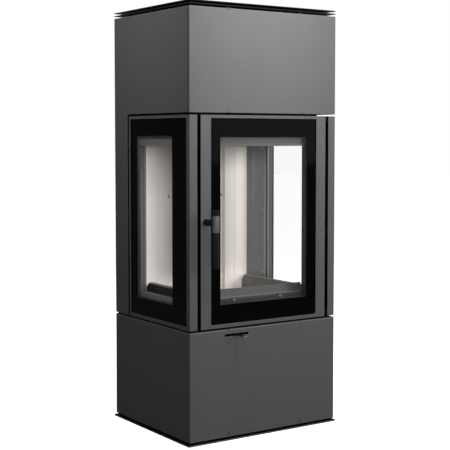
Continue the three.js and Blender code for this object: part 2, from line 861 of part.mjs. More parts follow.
function innerLining(side) {
  const [near, far] = [liningInnerInset + liningJoint / 2, liningCentreInset - liningJoint / 2];
  return liningSlab(sideX(side, near), sideX(side, far), liningFaceSetback);
}

const liningCentreSetback = liningFaceSetback + liningCentreStep;

function centreLining() {
  const inset = liningCentreInset + liningJoint / 2;
  return liningSlab(sideX(-1, inset), sideX(1, inset), liningCentreSetback);
}

// Rear corner panel: a sheet that runs from behind the side opening's return across the corner to the lining,
// with three bolt heads on its slanted face
const cornerPanelBottom = stoneBottom;
const cornerPanelTop = bandTop - cornerPanelTopDistance;
const cornerPanelFrontY = sideOpeningY[1] + fireboxSheet + seatGap;
const cornerFoot = [cornerPanelFootInset, cornerPanelFrontY];
const cornerBend = [cornerPanelBendInset, cornerPanelFrontY + cornerPanelBendRun];
const cornerEnd = [liningInset - seatGap, frontY(liningFaceSetback - cornerPanelEndReveal)];

function cornerPanel(side) {
  const line = [
    cornerFoot,
    cornerBend,
    cornerEnd,
    [cornerEnd[0], frontY(liningBackSetback)],
  ].map(([inset, y]) => [sideX(side, inset), y]);
  const outline = bentSheetOutline(side < 0 ? line.reverse() : line, cornerPanelSheet);
  const low = cornerPanelBottom + cornerBoltFootDistance;
  const high = cornerPanelTop - cornerBoltTopDistance;
  return join(
    uprightProfile(outline, cornerPanelBottom, cornerPanelTop),
    [low, (low + high) / 2, high].map((z) => cornerBolt(side, z)),
  );
}

// A bolt head on the slanted face; its root is sunk into the sheet
function cornerBolt(side, z) {
  const [acrossRun, backRun] = [cornerBend[0] - cornerFoot[0], cornerBend[1] - cornerFoot[1]];
  const geometry = new THREE.CylinderGeometry(cornerBoltRadius, cornerBoltRadius, cornerBoltReach, studSides);
  geometry.rotateZ(Math.PI / 2);
  geometry.rotateZ(side * Math.atan2(acrossRun, backRun));
  geometry.translate(
    sideX(side, cornerFoot[0] + cornerBoltPositionShare * acrossRun),
    cornerFoot[1] + cornerBoltPositionShare * backRun,
    z,
  );
  return solidOf(geometry);
}

// Front log guard: a bent sheet on the front opening's sill, with two bolt heads along its bend
function logGuard() {
  const line = [
    [frontY(guardFootSetback), frontSill + guardFootRise],
    [frontY(guardCreaseSetback), frontSill + guardCreaseRise],
    [frontY(guardTopSetback), frontSill + guardTopRise],
  ];
  const sheet = crossProfile(
    bentSheetOutline(line, guardSheet),
    sideX(-1, frontOpeningInset + seatGap), sideX(1, frontOpeningInset + seatGap),
  );
  const front = frontY(guardBoltSetback);
  const bolts = sides.map((side) => deepRod(
    guardBoltRadius, side * guardBoltSpacing / 2, frontSill + guardBoltRise,
    front, front + guardBoltReach, studSides,
  ));
  return join(sheet, bolts);
}

function bafflePlate() {
  const [front, back] = [frontY(baffleSetback), frontY(liningBackSetback)];
  return block(hearthX(-1), hearthX(1), front, back, baffleBottom, baffleTop);
}

// Fixed side glazing
const sideFrameY = [frontY(columnSideDepth + sideFrameJoint), frontY(legFront - rearLegGap)];
const sideFrameInnerY = grow(sideFrameY, -sideFrameStile);
const sideFrameInnerZ = [bandBottom + sideFrameBottomRail, bandTop - sideFrameTopRail];

function sideGlassFrame(side) {
  const lip = sideRing(side, sideFrameY, sideFrameInnerY, bandZ, sideFrameInnerZ, 0, sideFrameSheet);
  const rim = sideRing(
    side, sideFrameY, grow(sideFrameY, -sideFrameSheet), bandZ, grow(bandZ, -sideFrameSheet),
    0, fireboxSideInset - seatGap,
  );
  return join(lip, rim);
}

const sideGlassOuter = sideFrameSheet + sideGlassLipGap;
const sideGlassInner = sideGlassOuter + glassThickness;

function sideGlass(side) {
  const inward = -(sideFrameSheet + sideGlassEdgeGap);
  const [ya, yb] = grow(sideFrameY, inward);
  const [za, zb] = grow(bandZ, inward);
  return block(sideX(side, sideGlassOuter), sideX(side, sideGlassInner), ya, yb, za, zb);
}

function sideGlassSeal(side) {
  const innerY = grow(sideOpeningY, sideSealStileDistance);
  const innerZ = grow(sideOpeningZ, sideSealRailDistance);
  return sideRing(
    side, grow(innerY, sideSealWidth), innerY, grow(innerZ, sideSealWidth), innerZ,
    sideGlassInner + glassFaceGap, fireboxSideInset - seatGap,
  );
}

// Front door
const doorWindowZ = [bandBottom + doorBottomRail, bandTop - doorTopRail];
const doorGlassZ = grow(doorWindowZ, glassLip);
const doorSealFront = doorSheet + glassFaceGap;
const doorGlassFront = doorSealFront + doorSealThickness + glassFaceGap;
const doorGlassBack = doorGlassFront + glassThickness;
const retainerFront = doorGlassBack + glassFaceGap;
const retainerBack = retainerFront + retainerSheet;
const retainerInset = doorGlassInset - retainerEdge;
const retainerZ = grow(doorGlassZ, retainerEdge);
const retainerTabZ = [
  retainerZ[0] + retainerTabEndDistance,
  (retainerZ[0] + retainerZ[1]) / 2 - retainerTabEndDistance,
  retainerZ[1] - retainerTabEndDistance,
];
const retainerStudInset = retainerInset - retainerTabLength / 2;
const hingeStackHeight = 2 * hingeEarThickness + seatGap;
const lowerHingeZ = bandBottom + hingeEndDistance;
const upperHingeZ = bandTop - hingeEndDistance - hingeStackHeight;

function hingeEar(z) {
  const [za, zb] = [z + hingeEarThickness + seatGap, z + hingeStackHeight];
  return join(
    block(sideX(1, doorInset + doorSheet), hingeX, frontY(0), frontY(2 * hingeEarRadius), za, zb),
    uprightRod(hingeEarRadius, hingeX, hingeY, za, zb),
  );
}

function hingeHole(z) {
  return uprightRod(hingeHoleRadius, hingeX, hingeY, z - cutOverrun, z + hingeStackHeight + cutOverrun);
}

function eachRetainerStud(make) {
  return sides.flatMap((side) => retainerTabZ.map((z) => make(sideX(side, retainerStudInset), z, side)));
}

function doorFrame() {
  const web = frontRing(doorInset, doorWindowInset, bandZ, doorWindowZ, frontY(0), frontY(doorSheet));
  const rim = frontRing(
    doorInset, doorInset + doorSheet, bandZ, grow(bandZ, -doorSheet), frontY(0), frontY(doorDepth),
  );
  const studs = eachRetainerStud((x, z) => join(
    block(x - retainerPadHalf, x + retainerPadHalf, frontY(0), frontY(retainerFront - glassFaceGap),
      z - retainerPadHalf, z + retainerPadHalf),
    deepRod(retainerStudRadius, x, z, frontY(0), frontY(retainerBack + retainerStudReach), studSides),
  ));
  const spindleHole = deepRod(
    spindleHoleRadius, handleX, handleZ, frontY(-cutOverrun), frontY(doorSheet + cutOverrun),
  );
  const levels = [lowerHingeZ, upperHingeZ];
  return cut(join(web, rim, studs, levels.map(hingeEar)), spindleHole, levels.map(hingeHole));
}

function doorGlassSeal() {
  return frontRing(
    doorGlassInset + doorSealEdge, doorWindowInset - doorSealEdge,
    grow(doorGlassZ, -doorSealEdge), grow(doorWindowZ, doorSealEdge),
    frontY(doorSealFront), frontY(doorSealFront + doorSealThickness),
  );
}

function doorGlass() {
  return block(
    sideX(-1, doorGlassInset), sideX(1, doorGlassInset),
    frontY(doorGlassFront), frontY(doorGlassBack), doorGlassZ[0], doorGlassZ[1],
  );
}

function glassRetainer() {
  const ring = frontRing(
    retainerInset, retainerInset + retainerStileWidth, retainerZ, grow(retainerZ, -retainerRailHeight),
    frontY(retainerFront), frontY(retainerBack),
  );
  const tabs = eachRetainerStud((x, z, side) => block(
    sideX(side, retainerInset - retainerTabLength), sideX(side, retainerInset + retainerStileWidth),
    frontY(retainerFront), frontY(retainerBack), z - retainerTabHeight / 2, z + retainerTabHeight / 2,
  ));
  const holes = eachRetainerStud((x, z) =>
    deepRod(retainerStudHole, x, z, frontY(0), frontY(retainerBack + cutOverrun), studSides));
  return cut(join(ring, tabs), holes);
}

function doorGasket() {
  const outerZ = grow(retainerZ, -gasketRailDistance);
  return frontRing(
    retainerInset + gasketEdgeDistance, retainerInset + gasketEdgeDistance + gasketWidth,
    outerZ, grow(outerZ, -gasketWidth),
    frontY(retainerBack + seatGap), frontY(fireboxFrontSetback - seatGap),
  );
}

// Hinge bracket on the firebox, and the pin that stands in it
function hingeBracket(z) {
  const back = frontY(fireboxFrontSetback - seatGap);
  const top = z + hingeEarThickness;
  const plate = join(
    block(hingeX - hingeEarRadius, hingeX + hingeEarRadius, hingeY, back, z, top),
    uprightRod(hingeEarRadius, hingeX, hingeY, z, top),
  );
  return cut(plate, hingeHole(z));
}

function hingePin(z) {
  const top = z + hingeStackHeight + hingePinOverrun;
  return uprightRod(hingePinRadius, hingeX, hingeY, z - hingePinOverrun, top);
}

// Handle: a stub square to the door carries an upright bar of sleeve, grip and cap
const barY = frontY(-handleReach);
const sleeveTop = handleZ + sleeveAboveSpindle;
const sleeveBottom = sleeveTop - sleeveLength;
const pawlBack = fireboxFrontSetback - seatGap - keeperSheet - keeperPawlGap;
const pawlFront = pawlBack - pawlThickness;

function handleSpindle() {
  const stub = deepRod(stubRadius, handleX, handleZ, barY, frontY(-seatGap));
  const spindle = deepRod(spindleRadius, handleX, handleZ, frontY(-seatGap) - cutOverrun, frontY(pawlBack));
  const saddle = uprightRod(gripRadius + seatGap, handleX, barY, sleeveBottom, sleeveTop);
  return join(cut(stub, saddle), spindle);
}

function handleSleeve() {
  return join(
    uprightRod(gripRadius, handleX, barY, sleeveBottom, sleeveTop),
    uprightRod(tenonRadius, handleX, barY, sleeveBottom - gripTenonLength, sleeveTop + capTenonLength),
  );
}

function handleGrip() {
  const top = sleeveBottom - seatGap;
  const boreEnd = sleeveBottom - gripTenonLength - tenonEndGap;
  return cut(
    uprightRod(gripRadius, handleX, barY, sleeveBottom - gripLength, top),
    uprightRod(tenonRadius + seatGap, handleX, barY, boreEnd, top + cutOverrun),
  );
}

function handleCap() {
  const bottom = sleeveTop + seatGap;
  const boreEnd = sleeveTop + capTenonLength + tenonEndGap;
  return cut(
    uprightRod(gripRadius, handleX, barY, bottom, sleeveTop + capLength),
    uprightRod(tenonRadius + seatGap, handleX, barY, bottom - cutOverrun, boreEnd),
  );
}

function latchPawl() {
  const [ya, yb] = [frontY(pawlFront), frontY(pawlBack)];
  const boss = deepRod(pawlBossRadius, handleX, handleZ, ya, yb);
  const tail = block(
    handleX - pawlWidth / 2, handleX + pawlWidth / 2, ya, yb, handleZ - pawlLength, handleZ,
  );
  const bore = deepRod(spindleHoleRadius, handleX, handleZ, ya - cutOverrun, yb + cutOverrun);
  return cut(join(boss, tail), bore);
}

// Keeper on the firebox's front plate; its lip is drawn just short of the pawl's end
function latchKeeper() {
  const plateFront = fireboxFrontSetback - seatGap - keeperSheet;
  const lipTop = handleZ - pawlLength - keeperClearance;
  const lipBottom = lipTop - keeperLipHeight;
  const lipBack = pawlFront - keeperPawlGap;
  const [left, right] = [handleX - keeperWidth / 2, handleX + keeperWidth / 2];
  const plateBack = frontY(plateFront + keeperSheet);
  return join(
    block(left, right, frontY(plateFront), plateBack, lipBottom - keeperFootHeight, lipTop),
    block(left, right, frontY(lipBack - keeperSheet), frontY(plateFront), lipBottom, lipBottom + keeperSheet),
    block(left, right, frontY(lipBack - keeperSheet), frontY(lipBack), lipBottom, lipTop),
  );
}

// Air box under the firebox floor, open at the top, with guides for the slide on its front
const airBoxTop = bandBottom - seatGap;
const airBoxBottom = airBoxTop - airBoxHeight;
const airBoxCentreZ = (airBoxTop + airBoxBottom) / 2;
const airBoxFrontY = frontY(airBoxSetback);
const airBoxBackY = airBoxFrontY + airBoxDepth;
const slideBackY = airBoxFrontY - seatGap;
const slideFrontY = slideBackY - airSlideThickness;

function airWindow(ya, yb) {
  return block(
    airSlotX - airWindowWidth / 2, airSlotX + airWindowWidth / 2, ya, yb,
    airSlotZ - airWindowHeight / 2, airSlotZ + airWindowHeight / 2,
  );
}

function airBoxGuide(up) {
  const edge = airSlotZ + up * (airSlideHeight / 2 + seatGap);
  const outer = edge + up * airGuideThickness;
  const lap = edge - up * airGuideLap;
  const [left, right] = [airSlotX - airGuideLength / 2, airSlotX + airGuideLength / 2];
  const front = slideFrontY - seatGap - airGuideThickness;
  return join(
    block(left, right, front, airBoxFrontY + airBoxSheet, edge, outer),
    block(left, right, front, front + airGuideThickness, lap, outer),
  );
}

function airBox() {
  const halfWidth = airBoxWidth / 2;
  const innerHalf = halfWidth - airBoxSheet;
  const shell = cut(
    block(-halfWidth, halfWidth, airBoxFrontY, airBoxBackY, airBoxBottom, airBoxTop),
    block(
      -innerHalf, innerHalf, airBoxFrontY + airBoxSheet, airBoxBackY - airBoxSheet,
      airBoxBottom + airBoxSheet, airBoxTop + cutOverrun,
    ),
  );
  const inletHole = deepRod(airInletRadius - airInletSheet, 0, airBoxCentreZ,
    airBoxBackY - airBoxSheet - cutOverrun, airBoxBackY + cutOverrun);
  const window = airWindow(airBoxFrontY - cutOverrun, airBoxFrontY + airBoxSheet + cutOverrun);
  return cut(join(shell, [-1, 1].map(airBoxGuide)), inletHole, window);
}

function airInletSpigot() {
  const front = airBoxBackY + seatGap;
  return cut(
    deepRod(airInletRadius, 0, airBoxCentreZ, front, backY(0)),
    deepRod(airInletRadius - airInletSheet, 0, airBoxCentreZ, front - cutOverrun, backY(-cutOverrun)),
  );
}

function airSlide() {
  const plate = block(
    airSlotX - airSlideWidth / 2, airSlotX + airSlideWidth / 2, slideFrontY, slideBackY,
    airSlotZ - airSlideHeight / 2, airSlotZ + airSlideHeight / 2,
  );
  const portStart = airSlotX + airPortOffset;
  const port = block(
    portStart, portStart + airWindowWidth, slideFrontY - cutOverrun, slideBackY + cutOverrun,
    airSlotZ - airWindowHeight / 2, airSlotZ + airWindowHeight / 2,
  );
  return cut(plate, port);
}

// A flat lever with a foot on the slide and a moulded tip
function airLever() {
  const tip = frontY(-leverReach);
  const back = slideFrontY - seatGap;
  return join(
    block(airSlotX - leverWidth / 2, airSlotX + leverWidth / 2, tip, back,
      airSlotZ - leverThickness / 2, airSlotZ + leverThickness / 2),
    block(airSlotX - leverWidth / 2, airSlotX + leverWidth / 2, back - chassisSheet, back,
      airSlotZ - leverFootHeight / 2, airSlotZ + leverFootHeight / 2),
    block(airSlotX - knobWidth / 2, airSlotX + knobWidth / 2, tip, tip + knobLength,
      airSlotZ - knobThickness / 2, airSlotZ + knobThickness / 2),
  );
}

// The casing and its chassis
addPiece('floor_plate', floorPlate(), greyPaint());
addPiece('chassis_frame', chassisFrame(), blackPaint());
addPiece('lower_front_panel', lowerFrontPanel(), greyPaint());
addPiece('lower_left_panel', lowerSidePanel(-1), greyPaint());
addPiece('lower_right_panel', lowerSidePanel(1), greyPaint());
addPiece('rear_panel', rearPanel(), greyPaint());
addPiece('upper_front_panel', upperFrontPanel(), greyPaint());
addPiece('left_side_panel', tallSidePanel(-1), greyPaint());
addPiece('right_side_panel', tallSidePanel(1), greyPaint());
addPiece('upper_base', upperBase(), blackPaint());
addPiece('crown_plate', crownPlate(), blackPaint());
addPiece('louvre_plate', louvrePlate(), greyPaint());
addPiece('front_left_spacer', louvreSpacer(spacerPlaces[0]), zincSteel());
addPiece('front_right_spacer', louvreSpacer(spacerPlaces[1]), zincSteel());
addPiece('rear_spacer', louvreSpacer(spacerPlaces[2]), zincSteel());
addPiece('top_plate', coverPlate(topPlateBottom), blackPaint());

// The firebox and what stands in it
addPiece('firebox_body', fireboxBody(), stoveSteel());
addPiece('left_column', column(-1), greyPaint());
addPiece('right_column', column(1), greyPaint());
addPiece('flue_collar', flueCollar(), castIron());
addPiece('flue_pipe', fluePipe(), darkPaint());
addPiece('hearth_plate', hearthPlate(), brownStone());
addPiece('left_hearth_stone', hearthStone(-1), brownStone());
addPiece('right_hearth_stone', hearthStone(1), brownStone());
addPiece('grate', grate(), castIron());
addPiece('ash_pan', ashPan(), zincSteel());
addPiece('left_outer_lining', outerLining(-1), creamCeramic());
addPiece('left_inner_lining', innerLining(-1), creamCeramic());
addPiece('centre_lining', centreLining(), creamCeramic());
addPiece('right_inner_lining', innerLining(1), creamCeramic());
addPiece('right_outer_lining', outerLining(1), creamCeramic());
addPiece('left_corner_panel', cornerPanel(-1), stoveSteel());
addPiece('right_corner_panel', cornerPanel(1), stoveSteel());
addPiece('log_guard', logGuard(), stoveSteel());
addPiece('baffle_plate', bafflePlate(), creamCeramic());

// The fixed side glazing
addPiece('left_glass_frame', sideGlassFrame(-1), greyPaint());
addPiece('left_glass', sideGlass(-1), printedGlass());
addPiece('left_glass_seal', sideGlassSeal(-1), glassRope());
addPiece('right_glass_frame', sideGlassFrame(1), greyPaint());
addPiece('right_glass', sideGlass(1), printedGlass());
addPiece('right_glass_seal', sideGlassSeal(1), glassRope());

// The door, its hinge, handle and latch
addPiece('door_frame', doorFrame(), greyPaint());
addPiece('door_glass', doorGlass(), printedGlass());
addPiece('door_glass_seal', doorGlassSeal(), glassRope());
addPiece('glass_retainer', glassRetainer(), blackPaint());
addPiece('door_gasket', doorGasket(), glassRope());
addPiece('lower_hinge_bracket', hingeBracket(lowerHingeZ), blackPaint());
addPiece('upper_hinge_bracket', hingeBracket(upperHingeZ), blackPaint());
addPiece('lower_hinge_pin', hingePin(lowerHingeZ), zincSteel());
addPiece('upper_hinge_pin', hingePin(upperHingeZ), zincSteel());
addPiece('handle_spindle', handleSpindle(), blackPaint());
addPiece('handle_sleeve', handleSleeve(), brushedSteel());
addPiece('handle_grip', handleGrip(), blackPaint());
addPiece('handle_cap', handleCap(), blackPaint());
addPiece('latch_pawl', latchPawl(), zincSteel());
addPiece('latch_keeper', latchKeeper(), zincSteel());

// The air supply
addPiece('air_box', airBox(), darkPaint());
addPiece('air_inlet_spigot', airInletSpigot(), darkPaint());
addPiece('air_slide', airSlide(), zincSteel());
addPiece('air_lever', airLever(), darkPaint());

export default stove;
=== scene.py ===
import json
import math

import bmesh
import bpy
from bpy.props import FloatProperty, FloatVectorProperty, PointerProperty
from mathutils import Matrix, Vector


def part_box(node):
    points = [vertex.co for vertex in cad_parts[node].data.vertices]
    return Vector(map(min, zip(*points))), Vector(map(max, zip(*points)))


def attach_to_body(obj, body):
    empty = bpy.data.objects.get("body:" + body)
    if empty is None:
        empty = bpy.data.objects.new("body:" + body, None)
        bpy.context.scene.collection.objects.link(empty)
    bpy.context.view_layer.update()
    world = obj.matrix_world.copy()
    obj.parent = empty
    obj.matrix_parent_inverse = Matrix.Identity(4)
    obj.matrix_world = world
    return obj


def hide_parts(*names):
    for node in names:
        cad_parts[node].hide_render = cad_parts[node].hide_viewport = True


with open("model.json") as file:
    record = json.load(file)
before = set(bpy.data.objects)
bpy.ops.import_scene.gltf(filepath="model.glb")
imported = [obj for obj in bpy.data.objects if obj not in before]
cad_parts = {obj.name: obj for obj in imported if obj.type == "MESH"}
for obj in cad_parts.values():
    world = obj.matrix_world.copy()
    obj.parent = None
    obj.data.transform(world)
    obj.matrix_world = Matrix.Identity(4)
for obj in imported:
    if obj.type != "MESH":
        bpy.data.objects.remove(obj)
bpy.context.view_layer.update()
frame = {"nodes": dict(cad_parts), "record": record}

bl_info = {
    "name": "Three-sided wood stove",
    "version": (1, 0, 0),
    "blender": (4, 5, 0),
    "location": "3D View > Sidebar > Wood stove",
    "description": "Builds the casing, fire chamber, glazing, door and controls of a wood stove",
    "category": "Add Mesh",
}

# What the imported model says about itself
BODY_OF = {node: body for body, nodes in frame["record"]["behaviour"]["bodies"].items() for node in nodes}
SLOT_OF = {part["node"]: part["material_slot"] for part in frame["record"]["subparts"]}
SIDES = {"left": -1, "right": 1}


def low(node):
    """A CAD node's lowest corner."""
    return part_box(node)[0]


def high(node):
    """A CAD node's highest corner."""
    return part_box(node)[1]


# Sizes and colours that a user would change

def length(name, description, default):
    """A length in metres."""
    return FloatProperty(name=name, description=description, default=default, min=0, unit="LENGTH")


def colour(name, description, default):
    """A colour, as a linear RGB value."""
    return FloatVectorProperty(
        name=name, description=description, default=default, size=3, min=0, max=1, subtype="COLOR")


def power(name, description, default):
    """A lamp's power in watts."""
    return FloatProperty(name=name, description=description, default=default, min=0, unit="POWER")


def angle_of(name, description, degrees):
    """An angle, given in degrees."""
    return FloatProperty(name=name, description=description, default=math.radians(degrees), subtype="ANGLE")


class StoveSizes(bpy.types.PropertyGroup):
    """Edges and details that the plain solids leave out."""
    sheet_edge: length("Sheet edge", "Rounding along the edges of the casing's bent sheet", 0.0009)
    plate_edge: length("Plate edge", "Rounding along the edges of cut plate", 0.0005)
    board_edge: length("Board edge", "Rounding along the edges of the lining boards", 0.0003)
    slab_edge: length("Slab edge", "Rounding along the edges of the hearth stones and the baffle", 0.0016)
    return_tilt: length("Return tilt", "How far the upper front panel's side returns lean inwards", 0.0032)
    screw_radius: length("Screw radius", "Radius of the casing screws' heads", 0.0049)
    corner_bolt_radius: length("Corner bolt radius", "Radius of the bolt heads on the corner panels", 0.0038)
    guard_bolt_radius: length("Guard bolt radius", "Radius of the domed bolt heads on the log guard", 0.0088)
    pin_radius: length("Pin collar radius", "Radius of the pale collars round the lining pins", 0.0072)
    door_print_side: length("Door print, sides", "Printed border beside the door's window", 0.0427)
    door_print_foot: length("Door print, foot", "Printed border below the door's window", 0.0659)
    door_print_head: length("Door print, head", "Printed border above the door's window", 0.0645)
    side_print_front: length("Side print, front", "Printed border at the front of a side window", 0.0997)
    side_print_back: length("Side print, back", "Printed border at the back of a side window", 0.0430)
    side_print_foot: length("Side print, foot", "Printed border below a side window", 0.0674)
    side_print_head: length("Side print, head", "Printed border above a side window", 0.0652)


class StoveColours(bpy.types.PropertyGroup):
    """Base colours of the finishes."""
    grey_paint: colour("Casing coat", "Powder coat of the casing and the door", (0.0685, 0.0698, 0.072))
    black_paint: colour("Black paint", "Matt paint of the covers, handle and hinges", (0.006, 0.006, 0.0065))
    stove_steel: colour("Chamber steel", "Paint on the fire chamber's plates", (0.058, 0.0603, 0.0626))
    # The corner steel is lighter than the chamber steel: painted light thrown back from the lining
    corner_steel: colour("Corner steel", "Rolled steel of the rear corner panels", (0.212, 0.217, 0.226))
    guard_paint: colour("Guard paint", "Darkened paint of the log guard", (0.056, 0.056, 0.057))
    dark_paint: colour("Dark paint", "Matt paint of the flue pipe and the air box", (0.022, 0.0225, 0.024))
    cast_iron: colour("Cast iron", "Painted castings: the grate and the flue collar", (0.020, 0.020, 0.021))
    cream_ceramic: colour("Lining board", "Pressed ceramic board", (0.87, 0.822, 0.765))
    brown_stone: colour("Hearth clay", "Fired clay of the hearth", (0.205, 0.186, 0.168))
    printed_glass: colour("Printed border", "Black print on the panes", (0.0012, 0.0012, 0.0014))
    glass_rope: colour("Seal rope", "Braided glass rope", (0.060, 0.060, 0.058))
    brushed_steel: colour("Brushed steel", "The sleeve of the door handle", (0.042, 0.042, 0.043))
    stained_pin: colour("Stained pin", "Heat-stained heads of the lining pins", (0.33, 0.29, 0.225))
    worn_steel: colour("Worn steel", "The air lever's tip and the log guard's bolts", (0.085, 0.085, 0.085))
    zinc_steel: colour("Zinc plate", "Zinc-plated bolts, nuts, latch and ash pan", (0.36, 0.37, 0.38))


class StoveStage(bpy.types.PropertyGroup):
    """The camera and the lamps."""
    lens: FloatProperty(
        name="Lens", description="Focal length on a 36 mm sensor", default=88.005, min=1, unit="CAMERA")
    shift: FloatProperty(name="Shift", description="Vertical shift of the camera's picture", default=-0.045)
    yaw: angle_of("Yaw", "Turn of the camera to the right of straight ahead", 34.005)
    pitch: angle_of("Pitch", "Tilt of the camera below level", 3.511)
    top_power: power("Top lamp", "Power of the lamp above the front", 9.3)
    side_power: power("Side lamp", "Power of the lamp above the left side", 3.6)
    left_power: power("Left lamp", "Power of the wide lamp on the left", 0.9)
    front_power: power("Front lamp", "Power of the wide lamp left of the front", 56)
    right_power: power("Right lamp", "Power of the wide lamp right of the front", 64)
    back_power: power("Back lamp", "Power of the wide lamp behind", 60)
    ambient: FloatProperty(
        name="Ambient", description="Strength of the light from all round", default=0.05, min=0, max=1)


# Shaders

# The Mix node's sockets for colours
MIX_FACTOR, MIX_FIRST, MIX_SECOND, MIX_RESULT = 0, 6, 7, 2
# How far a sharp border runs out, in metres
HARD_EDGE = 0.0004
# The noise scale of a sprayed coat's grain
FINE_GRAIN = 1500
# Colours that no slot has; the first is the black of painted shade in the casing's gaps
PAINTED_SHADE_BLACK = (0.002, 0.002, 0.002)
HEAT_STAIN = (0.33, 0.27, 0.2)
CLEAR_GLASS = (0.125, 0.128, 0.127)


def attach(socket, value):
    """Gives a node's input a number, a colour, or a link."""
    if isinstance(value, Number):
        value = value.socket
    if isinstance(value, bpy.types.NodeSocket):
        socket.id_data.links.new(value, socket)
    else:
        socket.default_value = value


def add_node(tree, kind, settings=None, sockets=None):
    """A node of any kind: its settings first, then the values or links of its sockets."""
    node = tree.nodes.new(kind)
    for name, value in (settings or {}).items():
        setattr(node, name, value)
    for name, value in (sockets or {}).items():
        attach(node.inputs[name], value)
    return node


def maths(operation, *values):
    """A Math node on numbers, of which one or more are shader numbers."""
    tree = next(value for value in values if isinstance(value, Number)).socket.id_data
    node = add_node(tree, "ShaderNodeMath", {"operation": operation}, dict(enumerate(values)))
    return Number(node.outputs[0])


def from_middle(across, up):
    """How far a point lies from the middle, by two numbers."""
    return maths("SQRT", across * across + up * up)


class Number:
    """A number in a shader. Python's arithmetic on it adds Math nodes."""

    def __init__(self, socket):
        self.socket = socket

    def __add__(self, other):
        return maths("ADD", self, other)

    def __radd__(self, other):
        return maths("ADD", other, self)

    def __sub__(self, other):
        return maths("SUBTRACT", self, other)

    def __rsub__(self, other):
        return maths("SUBTRACT", other, self)

    def __mul__(self, other):
        return maths("MULTIPLY", self, other)

    def __rmul__(self, other):
        return maths("MULTIPLY", other, self)

    def __truediv__(self, other):
        return maths("DIVIDE", self, other)

    def __rtruediv__(self, other):
        return maths("DIVIDE", other, self)

    def __abs__(self):
        return maths("ABSOLUTE", self)

    def least(self, other):
        return maths("MINIMUM", self, other)

    def most(self, other):
        return maths("MAXIMUM", self, other)

    def wave(self):
        return maths("SINE", self)

    def held(self):
        """The number kept between 0 and 1."""
        return self.least(1).most(0)

    def contrast(self, gain):
        """The number spread out from its middle, and kept between 0 and 1."""
        return ((self - 0.5) * gain + 0.5).held()


class Finish:
    """A procedural material, with one shader whose sockets are set by name."""

    def __init__(self, name, constants):
        self.material = bpy.data.materials.new(name)
        self.material.use_nodes = True
        self.tree = self.material.node_tree
        self.tree.nodes.clear()
        self.shader = self.node("ShaderNodeBsdfPrincipled", {}, constants)
        self.node("ShaderNodeOutputMaterial", {}, {"Surface": self.shader.outputs[0]})
        self.place = self.node("ShaderNodeTexCoord").outputs["Object"]

    def node(self, kind, settings=None, sockets=None):
        """A node in this material."""
        return add_node(self.tree, kind, settings, sockets)

    def axes(self):
        """The three coordinates as numbers, in metres."""
        split = self.node("ShaderNodeSeparateXYZ", {}, {"Vector": self.place})
        return [Number(socket) for socket in split.outputs]

    def stretched(self, x, y, z):
        """The coordinates, scaled along each axis."""
        sockets = {0: self.place, 1: (x, y, z)}
        return self.node("ShaderNodeVectorMath", {"operation": "MULTIPLY"}, sockets).outputs[0]

    def noise(self, scale, detail=2, place=None):
        """Even noise between 0 and 1."""
        sockets = {"Vector": place or self.place, "Scale": scale, "Detail": detail}
        return Number(self.node("ShaderNodeTexNoise", {}, sockets).outputs[0])

    def cells(self, scale):
        """The distance to the nearest of many scattered points, between 0 and about 1."""
        sockets = {"Vector": self.place, "Scale": scale}
        return Number(self.node("ShaderNodeTexVoronoi", {}, sockets).outputs["Distance"])

    def blend(self, first, second, factor):
        """A colour between two, by a number."""
        sockets = {MIX_FACTOR: factor, MIX_FIRST: opaque(first), MIX_SECOND: opaque(second)}
        return self.node("ShaderNodeMix", {"data_type": "RGBA"}, sockets).outputs[MIX_RESULT]

    def shades(self, base, spread, factor):
        """A colour that runs from darker to lighter than its base, by a number."""
        return self.blend(times(base, 1 - spread), times(base, 1 + spread), factor)

    def use(self, sockets):
        """Links the shader's sockets."""
        for name, value in sockets.items():
            attach(self.shader.inputs[name], value)

    def relief(self, height, distance, strength=1):
        """Bumps, by a height between 0 and 1 times a distance in metres."""
        bump = self.node("ShaderNodeBump", {}, {"Height": height, "Distance": distance, "Strength": strength})
        self.use({"Normal": bump.outputs[0]})


def opaque(value):
    """A colour with its alpha, if it is a plain RGB triple."""
    return (*value, 1) if isinstance(value, (tuple, list)) and len(value) == 3 else value


def times(base, share):
    """A plain colour, lighter or darker."""
    return tuple(min(1, channel * share) for channel in base)


def beyond(value, edge, softness=HARD_EDGE):
    """1 where a number is past an edge, 0 before it."""
    return ((value - edge) / softness + 0.5).held()


def between(value, start, end, softness=HARD_EDGE):
    """1 where a number lies between two others, 0 outside them."""
    return beyond(value, start, softness) * (1 - beyond(value, end, softness))


def powder_coat(name, base, specular, roughness, dark=None, painted_highlight=None):
    """A sprayed coat: fine grain, faint clouds and uneven gloss. It may carry painted highlights and painted
    shade in places.
    """
    coat = Finish(name, {"Metallic": 0, "Specular IOR Level": specular})
    grain = coat.noise(FINE_GRAIN)
    speckle = coat.noise(240, 3)
    clouds = coat.noise(7, 3)
    sprayed = coat.shades(base, 0.10, (grain * 0.3 + speckle * 0.45 + clouds * 0.25).contrast(1.8))
    # Painted highlight and painted shade, where the masks fall
    if painted_highlight:
        sprayed = coat.blend(sprayed, times(base, 1.75), painted_highlight(*coat.axes()))
    if dark:
        sprayed = coat.blend(sprayed, PAINTED_SHADE_BLACK, dark(*coat.axes()))
    coat.use({"Base Color": sprayed, "Roughness": roughness - 0.06 + 0.12 * speckle})
    coat.relief(grain * 0.7 + speckle * 0.3, 0.0001, 0.6)
    return coat.material


